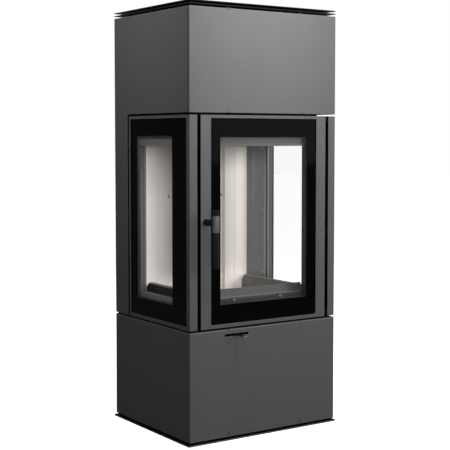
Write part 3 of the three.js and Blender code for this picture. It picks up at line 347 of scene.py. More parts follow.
def grey_paint(base):
    """The casing's grey coat, with painted shade in the narrow gaps and a painted highlight on the edge below
    the door.
    """
    lip, inset, flange_deep, flange_end, leg_deep = 0.0009, 0.003, 0.003, 0.0026, 0.02
    door_low, door_high = low("door_frame"), high("door_frame")
    pane_back = high("left_glass_frame").y

    # Painted shade: black in the gaps beside, above and below the door, behind the side panes, on the
    # recessed flanges, in the foot recess, and darker above the upper casing
    def painted_gap_shade(x, y, z):
        deep = (y - FRONT_Y).least(RIGHT_X - abs(x))
        beside_door = between(abs(x), -door_low.x - lip / 2, low("right_column").x + lip / 2)
        outside = beyond(abs(x), RIGHT_X - leg_deep, 0.001)
        behind_pane = between(y, pane_back - lip, LEG_FRONT_Y + lip) * outside
        upright = beside_door.most(behind_pane) * between(z, LOWER_TOP + inset, UPPER_BOTTOM - inset)
        under = between(z, LOWER_TOP - lip, door_low.z + lip / 2)
        over = between(z, door_high.z - lip / 2, UPPER_BOTTOM + lip) * (1 - beyond(y, LEG_FRONT_Y + lip))
        flange = beyond(deep, flange_deep, 0.0016)
        flange = flange * between(z, LOWER_TOP - flange_end, UPPER_BOTTOM + flange_end)
        flange = flange * (1 - between(z, door_low.z, door_high.z))
        flange = flange * (1 - beyond(y, LEG_FRONT_Y - flange_deep))
        foot = between(z, high("floor_plate").z - 0.001, low("lower_front_panel").z + lip)
        above_casing = beyond(z, UPPER_TOP + 0.0003) * 0.8
        return foot.most(upright).most(under).most(over).most(flange).most(above_casing)

    # Painted highlight: a lighter band just below the lower casing's top edge
    def painted_edge_highlight(_x, _y, z):
        return between(z, LOWER_TOP - 0.0046, LOWER_TOP - lip, 0.0008)

    return powder_coat("Grey powder coat", base, 0.008, 0.55, painted_gap_shade, painted_edge_highlight)


def black_paint(base):
    """Matt black stove paint."""
    return powder_coat("Matt black paint", base, 0.03, 0.55)


def dark_paint(base):
    """Matt dark paint."""
    return powder_coat("Dark paint", base, 0.06, 0.5)


def guard_paint(base):
    """Heat-proof paint, with painted shade towards the foot and a painted highlight along the bend."""
    paint = Finish("Smoked paint", {"Metallic": 0, "Specular IOR Level": 0.12})
    z = paint.axes()[2]
    grain = paint.noise(FINE_GRAIN)
    blotches = paint.noise(60, 4)
    bend = GUARD_LINE[1][1]
    # Painted shade towards the foot, and a painted highlight along the bend
    painted_foot_shade = (1 - beyond(z + 0.002 * blotches, bend - 0.0028, 0.0075)) * 0.82
    painted_bend_highlight = (1 - abs(z - bend - 0.0006) / 0.0016).held() * 0.8
    before_shade = paint.shades(base, 0.18, (blotches * 0.6 + grain * 0.4).held())
    shaded = paint.blend(before_shade, times(base, 0.12), painted_foot_shade)
    paint.use({"Base Color": paint.blend(shaded, times(base, 2.6), painted_bend_highlight), "Roughness": 0.42 + 0.14 * blotches})
    paint.relief(grain * 0.6 + blotches * 0.4, 0.00012, 0.6)
    return paint.material


# Places in the chamber's steel: one or two borders, then how far they run out, in metres
# They bound the painted shade above the door, at the sills, in the jamb groove and behind the door's gaps,
# and the painted highlights of the jamb's ribs
DOOR_SIDE_Y = (-0.19, 0.02)
HEAD_SHADE_Z = (0.92, 0.06)
SILL_SHADE_Z = (0.46, 0.05)
JAMB_Y, JAMB_X, JAMB_HEAD_Z = (0.03, 0.01), (0.248, 0.001), (0.82, 0.3)
JAMB_GROOVE_SHADE_X = (0.27, 0.2785, 0.002)
JAMB_RIB_HIGHLIGHT_X = ((0.2645, 0.2685, 0.002), (0.252, 0.256, 0.002))
DOOR_GAP_X, DOOR_GAP_Y = (0.236, 0.262, 0.004), (-0.21, 0.004)


def rolled_steel(name, base, specular, roughness):
    """Rolled plate under heat-proof paint: upright streaks, painted highlights of ribs beside the rear jambs,
    and painted shade at the sills, above the door, in a jamb groove and behind the door's gaps.
    """
    steel = Finish(name, {"Metallic": 0, "Specular IOR Level": specular})
    streaks = steel.noise(30, 4, steel.stretched(6, 6, 0.35))
    mill = steel.noise(900)
    x, y, z = steel.axes()
    # Painted shade above the door, at the sills, in the jamb groove and behind the gaps; painted highlights
    # on the ribs
    painted_head_shade = (1 - beyond(y, *DOOR_SIDE_Y)) * beyond(z, *HEAD_SHADE_Z) * 0.5
    painted_sill_shade = (1 - beyond(z, *SILL_SHADE_Z)) * 0.85
    rear_jamb = beyond(y, *JAMB_Y) * beyond(abs(x), *JAMB_X) * (1 - beyond(z, *JAMB_HEAD_Z))
    painted_groove_shade = between(abs(x), *JAMB_GROOVE_SHADE_X) * rear_jamb * 0.8
    painted_rib_highlights = between(abs(x), *JAMB_RIB_HIGHLIGHT_X[0]).most(between(abs(x), *JAMB_RIB_HIGHLIGHT_X[1])) * rear_jamb * 0.8
    rolled = steel.shades(base, 0.16, (streaks * 0.7 + mill * 0.3).contrast(1.6))
    before_shade = steel.blend(rolled, times(base, 1.9), painted_rib_highlights)
    painted_shade_behind_gaps = between(abs(x), *DOOR_GAP_X) * (1 - beyond(y, *DOOR_GAP_Y))
    shaded = steel.blend(before_shade, times(base, 0.2), painted_head_shade.most(painted_sill_shade).most(painted_groove_shade).most(painted_shade_behind_gaps))
    steel.use({"Base Color": shaded, "Roughness": roughness + 0.12 * mill})
    steel.relief(mill * 0.5 + streaks * 0.5, 0.00012, 0.5)
    return steel.material


def stove_steel(base):
    """The painted plates of the firebox."""
    return rolled_steel("Firebox steel", base, 0.25, 0.45)


def corner_steel(base):
    """The plates in the rear corners, coloured lighter than the chamber steel: painted light thrown back from
    the lining.
    """
    return rolled_steel("Corner steel", base, 0.5, 0.36)


def cast_iron(base):
    """A sand casting under thin paint: pits and grains."""
    iron = Finish("Cast iron", {"Specular IOR Level": 0.25})
    sand = iron.noise(650, 4)
    pits = beyond(iron.cells(260), 0.16, 0.12)
    grained = iron.shades(base, 0.3, sand)
    iron.use({"Base Color": grained, "Roughness": 0.6 + 0.25 * sand, "Metallic": 0.2 * pits})
    iron.relief(sand * 0.6 + pits * 0.4, 0.0004)
    return iron.material


def lining_board(base):
    """Pressed ceramic board: pale, with short fibres, small pits and faint stains round its pins."""
    board = Finish("Ceramic lining board", {"Metallic": 0, "Specular IOR Level": 0.1})
    fibre = board.noise(420, 4, board.stretched(1, 1, 2.5))
    clouds = board.noise(9, 3)
    pits = beyond(board.cells(330), 0.1, 0.1)
    x, _, z = board.axes()
    from_pin = from_middle(abs(x) - PIN_PLACE[0], z - PIN_PLACE[1])
    stain = (1 - beyond(from_pin, 0.0085, 0.005)) * 0.3
    pale = board.shades(base, 0.05, (fibre * 0.35 + clouds * 0.65).contrast(1.7))
    pitted = board.blend(times(base, 0.88), pale, 0.6 + 0.4 * pits)
    stained = board.blend(pitted, HEAT_STAIN, stain)
    board.use({"Base Color": stained, "Roughness": 0.82 + 0.12 * fibre})
    board.relief(fibre * 0.6 + pits * 0.4, 0.0003, 0.7)
    return board.material


def hearth_clay(base):
    """Fired clay: brown, with grog grains, soft mottling and pores. The outer faces carry painted shade."""
    clay = Finish("Fired clay", {"Metallic": 0, "Specular IOR Level": 0.15})
    mottle = clay.noise(22, 4)
    grog = beyond(clay.cells(420), 0.34, 0.2)
    pores = clay.noise(800, 3)
    ground = clay.shades(base, 0.28, (mottle * 0.6 + pores * 0.4).contrast(1.9))
    x, _, z = clay.axes()
    # Painted shade on the outer faces, below their top edge
    outer_top = high("right_hearth_stone")
    outer = beyond(abs(x), outer_top.x - 0.0008, 0.0006) * (1 - beyond(z, outer_top.z - 0.004, 0.003))
    grained = clay.blend(times(base, 1.5), ground, 0.75 + 0.25 * grog)
    clay.use({"Base Color": clay.blend(grained, times(base, 0.14), outer), "Roughness": 0.8 + 0.15 * pores})
    clay.relief(pores * 0.5 + mottle * 0.3 + grog * 0.2, 0.0006, 0.8)
    return clay.material


def woven_rope(base):
    """Braided glass rope: crossing strands of fine yarn."""
    rope = Finish("Glass rope", {"Metallic": 0, "Specular IOR Level": 0.2})
    x, y, z = rope.axes()
    turns = 1900
    there = ((x + y + z) * turns).wave()
    back = ((x + y - z) * turns).wave()
    braid = (there * back) * 0.5 + 0.5
    yarn = rope.noise(2600)
    woven = rope.shades(base, 0.4, (braid * 0.7 + yarn * 0.3).held())
    rope.use({"Base Color": woven, "Roughness": 0.85 + 0.1 * yarn})
    rope.relief(braid * 0.8 + yarn * 0.2, 0.0006)
    return rope.material


def metal(name, base, metallic, roughness, stretch=(1, 1, 1)):
    """Bare or plated metal, with fine marks along one direction."""
    bare = Finish(name, {"Specular IOR Level": 0.4})
    marks = bare.noise(900, 3, bare.stretched(*stretch))
    patches = bare.noise(45, 3)
    bare.use({
        "Base Color": bare.shades(base, 0.18, (marks * 0.6 + patches * 0.4).contrast(1.8)),
        "Metallic": metallic - 0.1 + 0.1 * patches,
        "Roughness": roughness - 0.06 + 0.14 * marks,
    })
    bare.relief(marks, 0.00006, 0.5)
    return bare.material


def brushed_steel(base):
    """Steel brushed round its axis."""
    return metal("Brushed steel", base, 0.5, 0.5, (0.05, 0.05, 3))


def worn_steel(base):
    """Steel rubbed by the hand."""
    return metal("Worn steel", base, 0.35, 0.45)


def zinc_steel(base):
    """Zinc-plated steel."""
    return metal("Zinc plate", base, 0.8, 0.4)


def printed_pane(name, base, window):
    """Clear glass with a black printed border. The window is two rows of axis, start and end."""
    pane = Finish(name, {"Metallic": 0, "Specular IOR Level": 0.004, "IOR": 1.5})
    axes = dict(zip("xyz", pane.axes()))
    across, up = ((axes[axis] - start).least(end - axes[axis]) for axis, start, end in window)
    clear = beyond(across.least(up), 0, 0.0006)
    haze = pane.noise(24, 3)
    print_tone = pane.shades(base, 0.25, pane.noise(300))
    pane.use({
        "Base Color": pane.blend(print_tone, CLEAR_GLASS, clear),
        "Alpha": 1 - clear * (0.986 - 0.012 * haze),
        "Roughness": 0.03 + 0.05 * haze,
    })
    return pane.material


def window_in(node, axis, prints):
    """The clear window of a pane, from its box and the print's widths at its start, end, foot and head."""
    first, last, level = low(node), high(node), "xyz".index(axis)
    start, end, foot, head = prints
    return (axis, first[level] + start, last[level] - end), ("z", first.z + foot, last.z - head)


FINISHES = {
    "grey_paint": grey_paint, "black_paint": black_paint, "dark_paint": dark_paint,
    "guard_paint": guard_paint, "stove_steel": stove_steel, "corner_steel": corner_steel,
    "cast_iron": cast_iron, "cream_ceramic": lining_board, "brown_stone": hearth_clay,
    "glass_rope": woven_rope, "brushed_steel": brushed_steel, "worn_steel": worn_steel,
    "zinc_steel": zinc_steel,
}


def finish_for(slot):
    """The material of a slot, made the first time it is asked for."""
    key = "finish_" + slot
    scene = bpy.context.scene
    if key not in scene:
        made = FINISHES[slot](tuple(getattr(scene.stove_colours, slot)))
        scene[key] = made.name
    return bpy.data.materials[scene[key]]


# Meshes

UPRIGHT = (0, 0, 1)
FORWARD = (0, -1, 0)
# How close points are joined, and how much a flat face may bend
JOINED, FLAT = 1e-5, math.radians(0.5)
# Rounding of edges on heavy plate, on welded and cast pieces, and on glass and thin sheet
HEAVY_EDGE, FORMED_EDGE, THIN_EDGE = 0.0008, 0.0009, 0.0004


def new_piece(name, work):
    """An object from a worked mesh, with smooth faces."""
    for face in work.faces:
        face.smooth = True
    mesh = bpy.data.meshes.new(name)
    work.to_mesh(mesh)
    work.free()
    piece = bpy.data.objects.new(name, mesh)
    bpy.context.scene.collection.objects.link(piece)
    return piece


def soften(piece, edge, segments=2, sharpest=50):
    """Rounds a piece's edges and keeps its flat faces flat."""
    bevel = piece.modifiers.new("Rounded edges", "BEVEL")
    bevel.width = edge
    bevel.segments = segments
    bevel.limit_method = "ANGLE"
    bevel.angle_limit = math.radians(sharpest)
    bevel.use_clamp_overlap = False
    normals = piece.modifiers.new("Flat faces", "WEIGHTED_NORMAL")
    normals.keep_sharp = True
    normals.weight = 100
    return piece


def clean_solid(node):
    """A CAD node's solid with its split points joined and its flat faces whole."""
    work = bmesh.new()
    work.from_mesh(frame["nodes"][node].data)
    bmesh.ops.remove_doubles(work, verts=work.verts, dist=JOINED)
    bmesh.ops.dissolve_limit(work, angle_limit=FLAT, verts=work.verts, edges=work.edges)
    return work


def fit(piece, node, slot=None, stands_for=True, material=None):
    """Gives a piece the finish and the body of its CAD node, which it stands for unless told otherwise."""
    slot = slot or SLOT_OF[node]
    piece.data.materials.append(material or finish_for(slot))
    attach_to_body(piece, BODY_OF[node])
    if stands_for:
        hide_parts(node)


def finished(node, name, edge, segments=2, shape=None, **finish):
    """Adds a piece in the shape of a CAD node, with rounded edges; shape may work on its mesh first."""
    work = clean_solid(node)
    if shape:
        shape(work)
    fit(soften(new_piece(name, work), edge, segments), node, **finish)


def bent_sheet(name, line, thickness, start, end, across=False):
    """A sheet bent along a line, which is its near face. It runs upright, or across the stove."""
    points = [Vector(point) for point in line]
    normals = [Vector((b.y - a.y, a.x - b.x)).normalized() for a, b in zip(points, points[1:])]
    far = []
    for index, point in enumerate(points):
        after = normals[min(index, len(normals) - 1)]
        mitre = (normals[max(index - 1, 0)] + after).normalized()
        far.append(point + mitre * (thickness / mitre.dot(after)))
    outline = [*points, *reversed(far)]
    work = bmesh.new()
    rings = []
    for along in (start, end):
        rings.append([work.verts.new((along, u, v) if across else (u, v, along)) for u, v in outline])
        work.faces.new(rings[-1])
    for index in range(len(outline)):
        after = (index + 1) % len(outline)
        work.faces.new((rings[0][index], rings[0][after], rings[1][after], rings[1][index]))
    bmesh.ops.recalc_face_normals(work, faces=work.faces)
    return new_piece(name, work)


def mirrored(line, way):
    """A line drawn for the right side, or its mirror image for the left."""
    return line if way > 0 else [(-x, y) for x, y in reversed(line)]


def first_leg(line, share):
    """A point on the first leg of a bent line, and the leg's direction."""
    foot, bend = Vector(line[0]), Vector(line[1])
    return foot.lerp(bend, share), (bend - foot).normalized()


def turned(name, profile, centre, axis, segments=48):
    """A turned piece. The profile gives radius and distance along the axis, from one end to the other."""
    work = bmesh.new()
    rings = []
    for radius, along in profile:
        steps = range(segments if radius else 1)
        angles = [2 * math.pi * step / segments for step in steps]
        rings.append([work.verts.new((radius * math.cos(a), radius * math.sin(a), along)) for a in angles])
    for first, second in zip(rings, rings[1:]):
        for step in range(segments):
            after = step + 1
            rim = (first[step % len(first)], first[after % len(first)],
                   second[after % len(second)], second[step % len(second)])
            work.faces.new(list(dict.fromkeys(rim)))
    bmesh.ops.recalc_face_normals(work, faces=work.faces)
    turn = Vector(UPRIGHT).rotation_difference(Vector(axis)).to_matrix().to_4x4()
    work.transform(Matrix.Translation(centre) @ turn)
    return new_piece(name, work)


def rounded_rod(radius, start, end, edge):
    """The profile of a rod with rounded ends."""
    steps = [math.radians(angle) for angle in (0, 30, 60, 90)]
    lower = [(radius - edge + edge * math.sin(a), start + edge - edge * math.cos(a)) for a in steps]
    upper = [(radius - edge + edge * math.sin(a), end - edge + edge * math.cos(a)) for a in reversed(steps)]
    return [(0, start), *lower, *upper, (0, end)]


def pipe_profile(outer, inner, start, end, edge):
    """The profile of a pipe with rounded rims, closed on itself."""
    return [
        (inner, start + edge), (inner + edge, start), (outer - edge, start), (outer, start + edge),
        (outer, end - edge), (outer - edge, end), (inner + edge, end), (inner, end - edge),
        (inner, start + edge),
    ]


def domed_head(name, radius, height, place, axis):
    """A round screw head with a recess for the tool."""
    recess, floor = 0.4, height * 0.45
    profile = [(0, floor), (radius * recess * 0.8, floor), (radius * recess, height)]
    for turn in map(math.radians, (20, 40, 60, 80, 90)):
        profile.append((radius * (recess + (1 - recess) * math.sin(turn)), height * math.cos(turn)))
    return turned(name, profile[::-1], place, axis, 24)


def button_head(name, radius, height, place, axis):
    """A round bolt head: a low dome on a short straight side."""
    straight = 0.0003
    turns = [math.radians(angle) for angle in range(0, 91, 10)]
    dome = [(radius * math.sin(turn), straight + (height - straight) * math.cos(turn)) for turn in turns]
    return turned(name, [*dome, (radius, 0)], place, axis, 32)


def together(name, pieces):
    """Joins loose pieces into one object."""
    work = bmesh.new()
    for piece in pieces:
        mesh = piece.data
        work.from_mesh(mesh)
        bpy.data.objects.remove(piece)
        bpy.data.meshes.remove(mesh)
    return new_piece(name, work)


def rope_ring(name, level, across, up, depth, half_width, half_depth):
    """A rope laid in a rectangle with rounded corners. Its strands twist as it runs."""
    bend, spacing, points, ripple, twist = 0.012, 0.005, 10, 0.06, 1.3
    right_angles = ((across[1], up[1]), (across[0], up[1]), (across[0], up[0]), (across[1], up[0]))
    line = []
    for quarter, (u, v) in enumerate(right_angles):
        centre = (u - math.copysign(bend, u - sum(across) / 2), v - math.copysign(bend, v - sum(up) / 2))
        for step in range(7):
            angle = math.radians(90 * quarter + 15 * step)
            line.append(Vector((centre[0] + bend * math.cos(angle), centre[1] + bend * math.sin(angle))))
    path = []
    for first, second in zip(line, line[1:] + line[:1]):
        count = max(1, round((second - first).length / spacing))
        path.extend(first.lerp(second, step / count) for step in range(count))
    work = bmesh.new()
    rings = []
    for index, here in enumerate(path):
        along = (path[(index + 1) % len(path)] - path[index - 1]).normalized()
        outward = Vector((along.y, -along.x))
        ring = []
        for step in range(points):
            angle = 2 * math.pi * step / points
            swell = 1 - ripple + ripple * math.cos(2 * angle + twist * index)
            u, v = here + outward * half_width * swell * math.cos(angle)
            off = depth + half_depth * swell * math.sin(angle)
            ring.append(work.verts.new((off, u, v) if level else (u, off, v)))
        rings.append(ring)
    for first, second in zip(rings, rings[1:] + rings[:1]):
        for step in range(points):
            after = (step + 1) % points
            work.faces.new((first[step], first[after], second[after], second[step]))
    bmesh.ops.recalc_face_normals(work, faces=work.faces)
    return new_piece(name, work)


def seal_rope(name, node, level, half_width):
    """A rope round the box of a seal's node. level is its level axis: 0 at the door, 1 at a side pane."""
    first, last = low(node), high(node)
    deep = 1 - level
    across = (first[level] + half_width, last[level] - half_width)
    up = (first.z + half_width, last.z - half_width)
    depth, half_depth = (first[deep] + last[deep]) / 2, (last[deep] - first[deep]) / 2
    fit(rope_ring(name, level, across, up, depth, half_width, half_depth), node)


def nut(place):
    """A hexagon nut whose axis runs from front to back."""
    work = bmesh.new()
    bmesh.ops.create_cone(
        work, cap_ends=True, segments=6, radius1=NUT_RADIUS, radius2=NUT_RADIUS, depth=NUT_HEIGHT)
    work.transform(Matrix.Translation(place) @ Matrix.Rotation(math.pi / 2, 4, "X"))
    return new_piece("nut", work)


# Places that several pieces share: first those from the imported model, then those that repeat its source.
# A share says how far along a bent sheet's first leg its bolts are.
FRONT_Y = low("lower_front_panel").y
RIGHT_X = high("lower_right_panel").x
LOWER_TOP = high("lower_front_panel").z
UPPER_BOTTOM = low("upper_front_panel").z
UPPER_TOP = high("upper_front_panel").z
FRONT_NOTCH_X = (low("front_right_spacer").x + high("front_right_spacer").x) / 2
SIDE_NOTCH_Y = (-0.115, 0.032)
LEG_FRONT_Y = 0.1485
LEG_NOTCH_Z = (0.702, 0.939)
FOOT_HOLE_Z = 0.020
NUT_X = RIGHT_X - 0.0635
NUT_Z = (0.4225, 0.644, 0.9755)
NUT_RADIUS, NUT_HEIGHT, NUT_EDGE, NUT_GAP = 0.0046, 0.0024, 0.0003, 0.0001
LINING = [f"{place}_lining" for place in ("left_outer", "left_inner", "centre", "right_inner", "right_outer")]
CORNER_LINE = ((0.2675, 0.0968), (0.224, 0.1475), (0.2142, 0.168))
RETURN_LINE = ((0.2501, 0.0924), (0.2560, 0.0924))
CORNER_BOLT_SHARE = 0.44
CORNER_BOLT_Z = (0.4773, 0.7011, 0.925)
GUARD_LINE = ((-0.214, 0.43325), (-0.180, 0.4475), (-0.177, 0.4765))
GUARD_BOLT_X = 0.093
GUARD_BOLT_SHARE = 0.6
CHAMBER_SHEET = 0.003
PIPE_SHEET = 0.002

# The lining's pins: their places to either side, and a pin's profile, radius and height above the slab
PIN_PLACE = (0.1096, 0.7578)
PIN_PROFILE = (
    (0, 0.0068), (0.0014, 0.0068), (0.002, 0.0078), (0.0036, 0.0075), (0.0048, 0.0064), (0.0053, 0.0048),
    (0.0053, 0),
)


# Operators, one for each piece or group of like pieces

class STOVE_OT_casing(bpy.types.Operator):
    """Bent sheet panels of the lower and the upper casing"""
    bl_idname = "stove.casing"
    bl_label = "Casing panels"

    def execute(self, context):
        sizes = context.scene.stove_sizes
        sheet, reach = 0.003, 0.0115

        def lean_returns(work):
            for vert in work.verts:
                if abs(vert.co.x) > RIGHT_X - sheet and vert.co.y - FRONT_Y > reach:
                    vert.co.x -= math.copysign(sizes.return_tilt, vert.co.x)

        finished("upper_front_panel", "upper_front_sheet", sizes.sheet_edge, 3, lean_returns)
        finished("lower_front_panel", "lower_front_sheet", sizes.sheet_edge, 3)
        for side in SIDES:
            finished(f"lower_{side}_panel", f"lower_{side}_sheet", sizes.sheet_edge, 3)
            finished(f"{side}_side_panel", f"{side}_side_sheet", sizes.sheet_edge, 3)
        finished("rear_panel", "rear_sheet", sizes.plate_edge)
        return {"FINISHED"}


class STOVE_OT_covers(bpy.types.Operator):
    """Louvre plate, top plate, their spacers and the plates inside the upper casing"""
    bl_idname = "stove.covers"
    bl_label = "Cover plates"

    def execute(self, context):
        edge = context.scene.stove_sizes.plate_edge
        finished("louvre_plate", "louvre_sheet", edge, slot="black_paint")
        finished("top_plate", "top_sheet", edge)
        finished("upper_base", "upper_base_sheet", edge)
        finished("crown_plate", "crown_sheet", edge)
        thick, thin, rim, end_rim, gap = 0.007, 0.005, 0.0003, 0.0004, 0.0003
        shoulder = low("louvre_plate").z - gap
        for node in ("front_left_spacer", "front_right_spacer", "rear_spacer"):
            middle = (low(node) + high(node)) / 2
            foot, head = low(node).z, high(node).z
            profile = [
                (0, foot), (thick - rim, foot), (thick, foot + rim), (thick, shoulder - rim),
                (thick - rim, shoulder), (thin, shoulder), (thin, head - end_rim), (thin - end_rim, head),
                (0, head),
            ]
            spacer = turned(node + "_turned", profile, (middle.x, middle.y, 0), UPRIGHT, 32)
            fit(spacer, node, slot="black_paint")
        return {"FINISHED"}


class STOVE_OT_base(bpy.types.Operator):
    """Floor plate and the welded chassis"""
    bl_idname = "stove.base"
    bl_label = "Base"

    def execute(self, context):
        edge = context.scene.stove_sizes.plate_edge
        finished("floor_plate", "floor_sheet", HEAVY_EDGE)
        finished("chassis_frame", "chassis", edge)
        return {"FINISHED"}


class STOVE_OT_casing_screws(bpy.types.Operator):
    """Screw heads behind the half-round notches of the casing"""
    bl_idname = "stove.casing_screws"
    bl_label = "Casing screws"

    def execute(self, context):
        radius = context.scene.stove_sizes.screw_radius
        height, sunk, foot_sunk = 0.0016, 0.0026, 0.0018
        heads = []

        def head(place, axis):
            heads.append(domed_head(f"head{len(heads)}", radius, height, place, axis))

        for x in (-FRONT_NOTCH_X, FRONT_NOTCH_X):
            head((x, FRONT_Y + foot_sunk, FOOT_HOLE_Z), FORWARD)
            for z in (LOWER_TOP, UPPER_BOTTOM, UPPER_TOP):
                head((x, FRONT_Y + sunk, z), FORWARD)
        for way in SIDES.values():
            face = way * (RIGHT_X - sunk)
            for y in SIDE_NOTCH_Y:
                head((face, y, LOWER_TOP), (way, 0, 0))
                head((face, y, UPPER_BOTTOM), (way, 0, 0))
            head((face, 0, UPPER_TOP), (way, 0, 0))
            for z in LEG_NOTCH_Z:
                head((face, LEG_FRONT_Y, z), (way, 0, 0))
        screws = together("casing_screws", heads)
        # The grey coat paints shade on the parts of the heads that lie in the casing's gaps
        fit(screws, "chassis_frame", slot="grey_paint", stands_for=False)
        return {"FINISHED"}


class STOVE_OT_columns(bpy.types.Operator):
    """The two front corner columns"""
    bl_idname = "stove.columns"
    bl_label = "Corner columns"

    def execute(self, context):
        edge = context.scene.stove_sizes.sheet_edge
        for side in SIDES:
            finished(f"{side}_column", f"{side}_column_channel", edge, 3)
        return {"FINISHED"}


def corner_panel(side, way, bolt_radius, shaded_strip):
    """A rear corner panel with the bead along its bend, the strip beside it in a darker steel for painted
    shade, and its bolts.
    """
    node = f"{side}_corner_panel"
    steel = finish_for("corner_steel")
    foot, head = low(node).z, high(node).z
    inset, sunk, bead_radius, bead_rim = 0.0022, 0.0002, 0.0014, 0.001
    strip_sheet, strip_foot, bolt_height = 0.0012, 0.05, 0.0024
    line = mirrored([*CORNER_LINE, (CORNER_LINE[-1][0], high(node).y)], way)
    sheet = bent_sheet(f"{side}_corner_sheet", line, CHAMBER_SHEET, foot, head)
    fit(soften(sheet, FORMED_EDGE, 3, 12), node, material=steel)
    x, y = CORNER_LINE[1]
    bead = rounded_rod(bead_radius, foot + inset, head - inset, bead_rim)
    bead = turned(f"{side}_corner_bead", bead, (way * (x - sunk), y - sunk, 0), UPRIGHT, 16)
    fit(bead, node, stands_for=False, material=steel)
    line = mirrored(RETURN_LINE, way)
    strip = bent_sheet(f"{side}_return_strip", line, strip_sheet, foot + strip_foot, head - inset)
    fit(soften(strip, THIN_EDGE), node, stands_for=False, material=shaded_strip)
    at, slope = first_leg(CORNER_LINE, CORNER_BOLT_SHARE)
    axis = (-way * slope.y, slope.x, 0)
    places = [(way * at.x, at.y, z) for z in CORNER_BOLT_Z]
    bolts = [button_head("bolt", bolt_radius, bolt_height, place, axis) for place in places]
    fit(together(f"{side}_corner_bolts", bolts), node, slot="zinc_steel", stands_for=False)


def log_guard(bolt_radius):
    """The bent guard along the front sill, with two domed bolts on black washers that paint the bolts'
    shadow.
    """
    node = "log_guard"
    edge, head_share, washer_height, head_height, head_back = 0.0011, 0.8, 0.0009, 0.0028, 0.0024
    sheet = bent_sheet("log_guard_sheet", GUARD_LINE, CHAMBER_SHEET, low(node).x, high(node).x, across=True)
    fit(soften(sheet, edge, 3, 20), node, material=finish_for("guard_paint"))
    at, slope = first_leg(GUARD_LINE, GUARD_BOLT_SHARE)
    axis = (0, -slope.y, slope.x)
    # Each black washer is a painted shadow; its dome sits lower, so the dark arc shows above it
    for name, radius, height, back, paint in (
        ("guard_washers", bolt_radius, washer_height, 0, "black_paint"),
        ("guard_bolts", bolt_radius * head_share, head_height, head_back, "worn_steel"),
    ):
        places = [(way * GUARD_BOLT_X, *(at - slope * back)) for way in SIDES.values()]
        heads = [button_head(name, radius, height, place, axis) for place in places]
        fit(together(name, heads), node, stands_for=False, material=finish_for(paint))


class STOVE_OT_chamber(bpy.types.Operator):
    """Welded firebox, its rear corner panels, the log guard and the baffle"""
    bl_idname = "stove.chamber"
    bl_label = "Fire chamber"

    def execute(self, context):
        sizes = context.scene.stove_sizes
        finished("firebox_body", "firebox", FORMED_EDGE)
        # A darker copy of the corner steel paints shade on the strip beside each corner panel
        shaded_strip_colour = times(context.scene.stove_colours.corner_steel, 0.45)
        shaded_strip = rolled_steel("Strip steel", shaded_strip_colour, 0.4, 0.4)
        for side, way in SIDES.items():
            corner_panel(side, way, sizes.corner_bolt_radius, shaded_strip)
        log_guard(sizes.guard_bolt_radius)
        finished("baffle_plate", "baffle_board", sizes.slab_edge, 3)
        return {"FINISHED"}


class STOVE_OT_hearth(bpy.types.Operator):
    """Hearth plate, side stones, grate and ash pan"""
    bl_idname = "stove.hearth"
    bl_label = "Hearth"

    def execute(self, context):
        sizes = context.scene.stove_sizes
        finished("hearth_plate", "hearth_slab", HEAVY_EDGE)
        for side in SIDES:
            finished(f"{side}_hearth_stone", f"{side}_hearth_block", sizes.slab_edge, 3)
        finished("grate", "grate_casting", FORMED_EDGE, 3)
        finished("ash_pan", "ash_tray", sizes.plate_edge)
        return {"FINISHED"}


class STOVE_OT_lining(bpy.types.Operator):
    """Ceramic slabs at the back of the fire chamber, and the pins that hold the middle one"""
    bl_idname = "stove.lining"
    bl_label = "Back lining"

    def execute(self, context):
        sizes = context.scene.stove_sizes
        for node in LINING:
            finished(node, node + "_slab", sizes.board_edge)
        node = "centre_lining"
        hole, reach, thick, rim = PIN_PROFILE[-1][0], sizes.pin_radius, 0.0009, 0.0004
        collar = ((hole, thick), (reach - rim, thick), (reach, thick - rim), (reach, 0))
        stained = metal("Stained pin", tuple(context.scene.stove_colours.stained_pin), 0.3, 0.55)
        for name, profile, slot, material in (
            ("lining_pins", PIN_PROFILE, "zinc_steel", stained),
            ("lining_pin_collars", collar, "cream_ceramic", None),
        ):
            places = [(way * PIN_PLACE[0], low(node).y, PIN_PLACE[1]) for way in SIDES.values()]
            parts = [turned(name, profile[::-1], place, FORWARD, 32) for place in places]
            fit(together(name, parts), node, slot=slot, stands_for=False, material=material)
        return {"FINISHED"}


class STOVE_OT_side_glazing(bpy.types.Operator):
    """Fixed side panes with their frames and seals"""
    bl_idname = "stove.side_glazing"
    bl_label = "Side glazing"

    def execute(self, context):
        sizes = context.scene.stove_sizes
        prints = (sizes.side_print_front, sizes.side_print_back, sizes.side_print_foot, sizes.side_print_head)
        rope = 0.0039
        window = window_in("left_glass_frame", "y", prints)
        glass = printed_pane("Side pane", tuple(context.scene.stove_colours.printed_glass), window)
        for side in SIDES:
            finished(f"{side}_glass_frame", f"{side}_frame", sizes.sheet_edge, 3)
            finished(f"{side}_glass", f"{side}_pane", THIN_EDGE, material=glass)
            seal_rope(f"{side}_seal_rope", f"{side}_glass_seal", 1, rope)
        return {"FINISHED"}


def glazing_bead():
    """A thin bead round the door pane, in four straight rods."""
    first, last = low("door_glass"), high("door_glass")
    gap, radius, rim, sunk = 0.0007, 0.0008, 0.0003, 0.0003
    left, right, foot, head = first.x - gap, last.x + gap, first.z - gap, last.z + gap
    rectangle = ((left, foot), (right, foot), (right, head), (left, head))
    corners = [Vector((x, FRONT_Y + sunk, z)) for x, z in rectangle]
    rods = []
    for corner, after in zip(corners, corners[1:] + corners[:1]):
        way = after - corner
        rod = rounded_rod(radius, -radius / 2, way.length + radius / 2, rim)
        rods.append(turned("bead", rod, corner, way.normalized(), 12))
    fit(together("glazing_bead", rods), "door_frame", stands_for=False)


